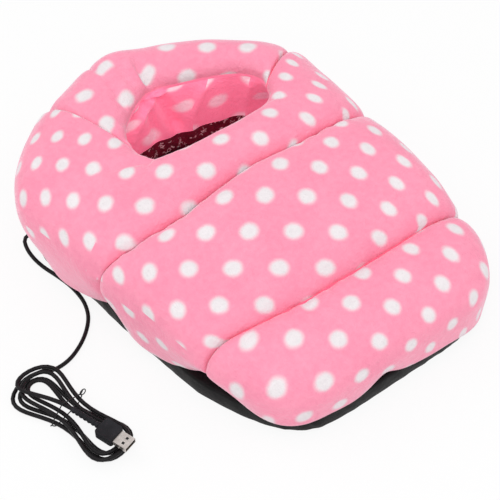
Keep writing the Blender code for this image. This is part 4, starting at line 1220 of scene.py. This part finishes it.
channels = [("toe", toe_grid, toe_seams, keeps_all, False, 3, wall_count + 16),
            ("instep", instep_grid, instep_seams, keeps_all, False, 3, wall_count + 51),
            ("throat", throat_grid, throat_seams, throat_keeps, True, 5, wall_count + 18),
            ("heel", heel_grid, heel_seams, keeps_all, True, 8, wall_count + 18)]
for name, grid, seams_of, keep, hangs, seed, anchor in channels:
    plain, plain_lining = lean(wander(grid(False))), lean(wander(grid(True)))
    turns = rim_turns[len(plain)] if hangs else None
    gap = np.maximum(np.linalg.norm(plain_lining - plain, axis=-1, keepdims=True), 1e-6)
    way = (plain_lining - plain) / gap
    lines = creases.get(name, [])
    cover = creased(quilted(plain, plain_lining, seams_of(plain), seed), way, gap, lines)
    if name == "heel":         # the stuffing is pushed up at the left of the collar
        from_lump = np.linalg.norm(cover[..., :2] - lump_place, axis=-1)
        cover[..., 2] += lump_height * np.exp(-(from_lump / lump_radius) ** 2)
    into = normals_of(plain_lining, -way)
    into = into * np.sign(np.sum(into * -way, axis=-1, keepdims=True))
    above_foot = np.clip((plain_lining[..., 2:] - crease_foot) / crease_blend, 0.0, 1.0)
    lining = creased(folded(plain_lining, plain, turns, seed), into, gap * above_foot, lines)
    if hangs:
        flat_lining = in_panels(plain_lining, turns)[0]
    else:
        flat_lining = cut_pattern(plain_lining, anchor, as_above)
    flat_cover = cut_pattern(plain, anchor, dot_layout[name])
    piece = padded_shell(f"{name}_channel", cover, lining, keep, flat_cover, flat_lining)
    for finish in (pink_fleece, pink_lining, pink_lining):
        piece.data.materials.append(finish)
    finer = piece.modifiers.new("finer", "SUBSURF")
    finer.levels = finer.render_levels = 1
    apply_all(piece)
    piece.data.shade_smooth()
    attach(piece, "root")
    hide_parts(f"{name}_cover", f"{name}_wadding", f"{name}_lining")
    print(piece.name, len(piece.data.polygons), "faces")

# %% [markdown]
# The sole is black coated cloth over a foam core. It stands 17 mm high under the fleece, is a
# little wrinkled where it was pulled round the foam's edge, and its top is turned in over the
# foam. A stack of rings that follow the outline makes it, and the wrinkles are small uneven
# waves that are strongest half way up the wall.

# %% Sole
sole_points = 420
sole_height, sole_cloth, sole_flare = 0.0170, 0.0012, 0.003
wall_foot, wall_top, tray_roof = 0.0014, 0.0155, 0.0120
sole_bulge, wrinkle_depth, wrinkle_slant, lip_width = 0.0006, 0.0009, 0.010, 0.004
push_turns = (0, 180, 207, 222, 232, 240, 247, 253, 262, 285, 300, 325, 360)
pushes = (0, 0, 0.001, -0.0035, -0.0065, -0.0110, -0.007, -0.003, 0, 0.0022, 0.0030, 0.0022, 0)


def ring(inset, height, extra=0.0, count=sole_points):
    turns = np.arange(count) / count * math.tau
    drawn = tuple(i + extra for i in inset)
    return lean([(*outline(angle_at(a, drawn), drawn), height) for a in turns])


def stacked(name, rings):
    """Closed piece through rings of equal count, capped at both ends."""
    count = len(rings[0])
    faces = [tuple(range(count))[::-1]]
    for k in range(len(rings) - 1):
        for i in range(count):
            j = (i + 1) % count
            faces.append((k * count + i, k * count + j, (k + 1) * count + j, (k + 1) * count + i))
    last = (len(rings) - 1) * count
    faces.append(tuple(range(last, last + count)))
    mesh = bpy.data.meshes.new(name)
    mesh.from_pydata([tuple(p) for p in np.concatenate(rings)], [], faces)
    work = bmesh.new()
    work.from_mesh(mesh)
    bmesh.ops.recalc_face_normals(work, faces=work.faces)
    bmesh.ops.triangulate(work, faces=[f for f in work.faces if len(f.verts) > 4])
    return from_work(name, work, mesh)


def wrinkled(points, share, depth):
    """Ring of the wall with its wrinkles, which lean as they go up."""
    out = points - points.mean(axis=0)
    out[:, 2] = 0
    out /= np.linalg.norm(out, axis=1, keepdims=True)
    along = run_along(points)
    whole = along[-1]
    slanted = along + wrinkle_slant * share
    wave = 0.0
    for k, (turns, shift) in enumerate([(61, 0.4), (37, 1.9), (97, 2.7), (23, 0.9)]):
        bent = 2.2 * np.sin(along / whole * math.tau * (5 + k))
        wave = wave + np.sin(slanted / whole * math.tau * turns + bent + shift) / (k + 1.5)
    patches = 0.6 + 0.4 * np.sin(along / whole * math.tau * 7 + 1.3)
    strength = math.sin(math.pi * (0.15 + 0.8 * share))
    return points + out * (wave * patches * depth * strength)[:, None]


def shifted(points):
    """The sole sits a little further out than the fleece at the left of the toe."""
    turns = np.degrees(np.arctan2(points[:, 1] - widest_y, points[:, 0])) % 360
    out = points[:, :2] - np.array([0.0, widest_y])
    out /= np.linalg.norm(out, axis=1, keepdims=True)
    points[:, :2] -= out * np.interp(turns, push_turns, pushes)[:, None]
    return points


rings = [ring(sole_inset, *spot) for spot in ((0.0, 0.004), (0.0, 0.0016), (0.0006, 0.0008))]
for share in np.linspace(0, 1, 12):
    bulge = -sole_bulge * math.sin(math.pi * share)
    wall = ring(sole_inset, wall_foot + (wall_top - wall_foot) * share, bulge)
    rings.append(wrinkled(wall, share, wrinkle_depth))
rings += [ring(sole_inset, 0.0166, 0.0006), ring(sole_inset, sole_height, 0.0022)]
rings = [shifted(each) for each in rings]
lip = tuple(i - lip_width for i in cavity_inset)
rings += [ring(lip, sole_height, -2 * lip_width), ring(lip, sole_height), ring(lip, tray_roof)]
rings += [ring(sole_inset, height, flare + 2 * sole_cloth)
          for height, flare in ((tray_roof, sole_flare / 2), (wall_foot, sole_flare / 2),
                                (0.0013, sole_flare))]
sole = stacked("sole", rings)
sole.data.shade_smooth()
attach(sole, "root")
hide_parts("sole_cover")
print("sole:", len(sole.data.polygons), "faces")

# %% [markdown]
# The coating of the sole's cloth is nearly black and a little shiny. Broad creases change its
# colour, its gloss and its height together, and a fine grain is added to the height.


# %% Finish of the sole
def gloss_range(tree, source, low, high):
    """Roughness between two values."""
    return add(tree, "MapRange", {"Value": source, "To Min": low, "To Max": high})[0]


sole_finish, tree, shader = new_material("black_sole_cloth")
place = object_place(tree)
rumples = noise_node(tree, place, 70.0, 5.0, 0.6)
grain = noise_node(tree, place, 1400.0, 2.0, 0.5)
relief = math_node(tree, "ADD", rumples, math_node(tree, "MULTIPLY", grain, 0.12))
feed(shader, {"Base Color": colour_ramp(tree, rumples, (0.3, 0.7),
                                        ((0.004, 0.004, 0.004), (0.011, 0.010, 0.011))),
              "Normal": bump(tree, relief, 0.6, 0.002), "Specular IOR Level": 0.13,
              "Roughness": gloss_range(tree, rumples, 0.38, 0.62)})
sole.data.materials.append(sole_finish)
print("finish:", sole_finish.name)

# %% [markdown]
# The footbed is a thin pad with a burgundy plush top that has white flecks in its pile. It has a
# pocket underneath for the heating wire. Its rim is rounded and its top is uneven, as long pile
# is, so the closed stack of rings gets many rings towards the middle and small random heights.

# %% Plush footbed
pad_margin, pocket_rim = 0.0035, 0.006
pocket_foot, pocket_top, pad_height = 0.0147, 0.0171, 0.0240
pad_edge = tuple(i + pad_margin for i in cavity_inset)
pocket = tuple(i + pocket_rim for i in pad_edge)
pad_count, tuft_height = 300, 0.0012


def shrunk(points, share, height):
    """Ring drawn towards its middle by a share."""
    middle = points.mean(axis=0)
    made = middle + (points - middle) * share
    made[:, 2] = height
    return made


rim_ring = ring(pad_edge, pad_height, 0.003, pad_count)
rings = [shrunk(ring(pocket, pocket_top, 0.0, pad_count), 0.5, pocket_top)]
rings += [ring(inset, height, extra, pad_count) for inset, height, extra in (
    (pocket, pocket_top, 0.0), (pocket, pocket_foot, 0.0), (pad_edge, pocket_foot, 0.0),
    (pad_edge, 0.0185, -0.0002), (pad_edge, 0.0212, 0.0006), (pad_edge, 0.0230, 0.0018))]
for share in np.linspace(1, 0.02, 60) ** 0.8:
    level = shrunk(rim_ring, share, pad_height - tuft_height)
    tuft = np.array([noise.noise(Vector(p) / 0.0042) + 0.6 * noise.noise(Vector(p) / 0.011)
                     for p in level])
    level[:, 2] += tuft_height * np.clip(tuft, -1, 1)
    rings.append(level)
footbed = stacked("footbed", rings)
footbed.data.shade_smooth()
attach(footbed, "root")
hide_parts("pad_plush")
print("footbed:", len(footbed.data.polygons), "faces")

# %% [markdown]
# The plush is the same pile in burgundy, without dots. Its flecks are the lines between the
# cells of a bent pattern, kept only in some patches. The lowest faces of the lining get the
# dark plush finish too, without the lining's glow. This is painted shade, which darkens the
# bottom of the opening.

# %% Finish of the plush
# lining faces below this height get the dark plush finish as painted shade
painted_shade_top = 0.037

plush_dark, plush_light = (0.105, 0.004, 0.016), (0.22, 0.010, 0.040)
plush, tree, shader, ground = fleece("burgundy_plush", (plush_dark, plush_light), None, 0.25,
                                     tint=(0.9, 0.35, 0.45), rough=0.003)
place = object_place(tree)
bend = add(tree, "TexNoise", {"Scale": 260.0, "Vector": place})["Color"]
bent = add(tree, "VectorMath", {0: bend, 1: (0.006, 0.006, 0.006), 2: place},
           operation="MULTIPLY_ADD")[0]
cells = add(tree, "TexVoronoi", {"Scale": 230.0, "Vector": bent},
            feature="DISTANCE_TO_EDGE")["Distance"]
patch = noise_node(tree, place, 150.0, 2.0, 0.5)
thin, some = [add(tree, "MapRange", {"Value": source, "From Min": low, "From Max": high})[0]
              for source, low, high in ((cells, 0.11, 0.05), (patch, 0.52, 0.60))]
flecks = math_node(tree, "MULTIPLY", thin, some, clamp=True)
feed(shader, {"Base Color": mixed(tree, flecks, ground, (0.80, 0.66, 0.68, 1.0))})
footbed.data.materials.append(plush)
# painted shade: the lowest faces of the lining take the dark plush finish
for name in ("throat", "heel"):
    wall = bpy.data.objects[f"{name}_channel"].data
    wall.materials.append(plush)
    for face in wall.polygons:
        if face.material_index == 1 and face.center.z < painted_shade_top:
            face.material_index = 3
print("finish:", plush.name)

# %% [markdown]
# The moulded black parts are the lead's jacket, the sleeve, the plug's ribbed relief and its
# body. They are the same kind of plastic with different gloss, so one function makes them: a
# nearly black colour with faint dusty patches, fine grain, and gloss that varies a little.


# %% Black plastics
def black_plastic(name, colours, gloss, grain_size, depth):
    made, tree, shader = new_material(name)
    place = object_place(tree)
    dust = noise_node(tree, place, 90.0, 4.0, 0.6)
    grain = noise_node(tree, place, 1.0 / grain_size, 2.0, 0.5)
    feed(shader, {"Base Color": colour_ramp(tree, dust, (0.35, 0.70), colours),
                  "Roughness": gloss_range(tree, dust, *gloss), "Specular IOR Level": 0.16,
                  "Normal": bump(tree, grain, 0.35, depth)})
    return made


lead_finish = black_plastic("black_lead", ((0.006, 0.005, 0.006), (0.013, 0.012, 0.013)),
                            (0.28, 0.42), 0.0016, 0.0004)
rubber = black_plastic("black_rubber", ((0.010, 0.010, 0.012), (0.020, 0.020, 0.024)),
                       (0.42, 0.60), 0.0005, 0.0002)
tie_finish = black_plastic("black_tie_wire", ((0.010, 0.010, 0.011), (0.03, 0.03, 0.03)),
                           (0.30, 0.45), 0.0008, 0.0002)
lead.data.materials.append(lead_finish)
for piece in (wire_tie, tie_eye, tie_tail):
    piece.data.materials.append(tie_finish)
print("black plastics made")

# %% [markdown]
# The plug's relief is a row of soft ribs that lets the lead bend without breaking. A circle is
# drawn out ring by ring: the ring grows for a rib and shrinks for a groove. Everything on the
# plug is laid along the hank's own direction, because the plug lies on top of the hank.

# %% Plug relief
plug_level = hank_point(last_turn)[2]
plug_turn = Matrix.Rotation(hank_heading, 4, "Z")
plug_start = Matrix.Translation(from_hank(0.0, 0.0, plug_level)) @ plug_turn
relief_start, relief_length = touch_gap, 0.0285
ribs, groove_radius, rib_radius, rib_shoulder = 7, 0.0021, 0.0026, 0.94
smooth_below = math.radians(35)


def set_down(piece):
    """Lay a piece, modelled along X at the origin, on the hank, and smooth its soft edges."""
    piece.data.transform(plug_start)
    piece.matrix_world = Matrix.Identity(4)
    pick(piece)
    bpy.ops.object.shade_smooth_by_angle(angle=smooth_below)
    piece.data.materials.append(rubber)


def extrude_ring(step, scale, middle):
    """Draw the selected ring on along X and scale it round its middle."""
    bpy.ops.mesh.extrude_region_move(TRANSFORM_OT_translate={"value": (step, 0.0, 0.0)})
    bpy.ops.transform.resize(value=(1.0, scale, scale), center_override=(middle, 0.0, 0.0))


bpy.ops.object.select_all(action="DESELECT")
bpy.ops.mesh.primitive_circle_add(vertices=32, radius=groove_radius, fill_type="NGON",
                                  location=(relief_start, 0, 0), rotation=(0, math.pi / 2, 0))
relief = bpy.context.object
relief.name = "plug_relief_ribbed"
bpy.ops.object.transform_apply(location=True, rotation=True, scale=True)
bpy.ops.object.mode_set(mode="EDIT")
bpy.ops.mesh.select_all(action="SELECT")
place, radius = relief_start, groove_radius
pitch = relief_length / (2 * ribs + 0.5)
rib = [(0.15, rib_radius * rib_shoulder), (0.2, rib_radius), (0.6, rib_radius),
       (0.2, rib_radius * rib_shoulder), (0.15, groove_radius), (0.7, groove_radius)]
steps = [(pitch * share, wanted) for share, wanted in [(0.5, groove_radius)] + rib * ribs]
steps.append((relief_length - sum(step for step, _ in steps), rib_radius))
for step, wanted in steps:
    place += step
    extrude_ring(step, wanted / radius, place)
    radius = wanted
bpy.ops.mesh.select_all(action="SELECT")
bpy.ops.mesh.normals_make_consistent(inside=False)
bpy.ops.object.mode_set(mode="OBJECT")
set_down(relief)
print("relief:", len(relief.data.polygons), "faces, ends at", round(place, 4))

# %% [markdown]
# The plug's body is a flat moulded block for finger and thumb. A cube at its real size gets
# rounded upright corners, then soft edges, and a shallow grip panel is inset in its two broad
# faces. The two faces are picked by their direction.

# %% Plug body
body_size = (0.0165, 0.0158, 0.0078)
body_start = relief_length + 2 * touch_gap
corner_radius, panel_margin, panel_step, soft_edge = 0.0020, 0.0014, 0.0003, 0.0006
bpy.ops.object.select_all(action="DESELECT")
bpy.ops.mesh.primitive_cube_add(size=1.0, location=(body_start + body_size[0] / 2, 0, 0),
                                scale=body_size)
body = bpy.context.object
body.name = "plug_body_moulded"
bpy.ops.object.transform_apply(location=True, rotation=True, scale=True)
bpy.ops.object.mode_set(mode="EDIT")
bpy.ops.mesh.select_mode(type="EDGE")
bpy.ops.mesh.select_all(action="DESELECT")
work = bmesh.from_edit_mesh(body.data)
for corner in work.edges:
    corner.select_set(abs((corner.verts[0].co - corner.verts[1].co).normalized().z) > 0.9)
bmesh.update_edit_mesh(body.data)
bpy.ops.mesh.bevel(offset=corner_radius, segments=4)
bpy.ops.mesh.select_mode(type="FACE")
bpy.ops.mesh.select_all(action="DESELECT")
work = bmesh.from_edit_mesh(body.data)
for broad in work.faces:
    broad.select_set(abs(broad.normal.z) > 0.9)
bmesh.update_edit_mesh(body.data)
bpy.ops.mesh.inset(thickness=panel_margin, use_even_offset=True)
bpy.ops.mesh.inset(thickness=panel_step, depth=-panel_step, use_even_offset=True)
bpy.ops.object.mode_set(mode="OBJECT")
soft = body.modifiers.new("soft_edges", "BEVEL")
soft.width, soft.segments = soft_edge, 3
soft.limit_method, soft.angle_limit = "ANGLE", math.radians(40)
apply_all(body)
set_down(body)
for piece, node in ((relief, "plug_relief"), (body, "plug_body")):
    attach(piece, "root")
    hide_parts(node)
print("plug body:", len(body.data.polygons), "faces")

# %% [markdown]
# The shell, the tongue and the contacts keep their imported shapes, which are already exact. The
# shell is folded nickel-plated sheet: bright, with fine brushing along its length and a few
# duller patches from handling. The contacts are gold on a black tongue.


# %% Metals and the plug's inner parts
def brushed_metal(name, colours, gloss, stretch):
    made, tree, shader = new_material(name)
    place = object_place(tree)
    laid = add(tree, "Mapping", {"Vector": place, "Rotation": (0.0, 0.0, -hank_heading),
                                 "Scale": stretch})[0]
    lines = noise_node(tree, laid, 1.0, 3.0, 0.6)
    dull = noise_node(tree, place, 260.0, 3.0, 0.6)
    feed(shader, {"Base Color": colour_ramp(tree, dull, (0.3, 0.7), colours), "Metallic": 1.0,
                  "Roughness": gloss_range(tree, dull, *gloss),
                  "Normal": bump(tree, lines, 0.25, 0.00008)})
    return made


nickel = brushed_metal("nickel", ((0.56, 0.51, 0.48), (0.74, 0.69, 0.66)), (0.24, 0.42),
                       (300.0, 5200.0, 2600.0))
gold = brushed_metal("contact_gold", ((0.80, 0.52, 0.16), (0.94, 0.70, 0.30)), (0.22, 0.36),
                     (400.0, 6000.0, 3000.0))
block = black_plastic("contact_block", ((0.012, 0.012, 0.013), (0.03, 0.03, 0.032)),
                      (0.40, 0.55), 0.0004, 0.0001)


def refinish(finish, *names):
    """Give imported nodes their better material."""
    for name in names:
        for slot in frame["nodes"][name].material_slots:
            slot.material = finish


contacts = [f"plug_contact_{number}" for number in range(1, 5)]
refinish(nickel, "plug_shell", "thermal_cutout", "crimp_front", "crimp_back")
refinish(block, "plug_tongue")
refinish(gold, *contacts)
refinish(rubber, "cord_outlet")
refinish(lead_finish, "pad_lead")
print("metals made")

# %% [markdown]
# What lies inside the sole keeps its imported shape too: the foam, the felt under the wire, the
# lining sheet and the heating wire in its braided sleeve. Each gets a finish for anyone who
# takes the warmer apart: cells for the foam, and fibres of their own size for the others.


# %% Finishes of what lies inside
def fibrous(name, dark, light, size, rough, depth, cells=False):
    made, tree, shader = new_material(name)
    place = object_place(tree)
    if cells:
        pattern = add(tree, "TexVoronoi", {"Scale": 1.0 / size, "Vector": place})["Distance"]
    else:
        pattern = noise_node(tree, place, 1.0 / size, 5.0, 0.7)
    feed(shader, {"Base Color": colour_ramp(tree, pattern, (0.25, 0.75), (dark, light)),
                  "Roughness": rough, "Normal": bump(tree, pattern, 0.5, depth)})
    return made


for node, *finish in (
        ("sole_foam", "grey_foam", (0.20, 0.20, 0.21), (0.42, 0.42, 0.43), 0.0014, 0.9, 0.0006,
         True),
        ("pad_base", "grey_felt", (0.30, 0.28, 0.28), (0.50, 0.47, 0.47), 0.0012, 0.95, 0.0006),
        ("insole_sheet", "insole_cloth", (0.70, 0.12, 0.25), (0.90, 0.22, 0.38), 0.0009, 0.95,
         0.0004),
        ("heating_wire", "heating_wire", (0.50, 0.08, 0.04), (0.80, 0.22, 0.12), 0.0005, 0.6,
         0.0002)):
    refinish(fibrous(*finish), node)
print("inner finishes made")

# %% Measure the finished warmer
plug_pieces = [relief, body, wire_tie, tie_eye, tie_tail]
plug_pieces += [frame["nodes"][n] for n in ["plug_shell", "plug_tongue"] + contacts]
bpy.ops.object.select_all(action="DESELECT")
low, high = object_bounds()
print("finished box", tuple(round(v, 4) for v in low), tuple(round(v, 4) for v in high))
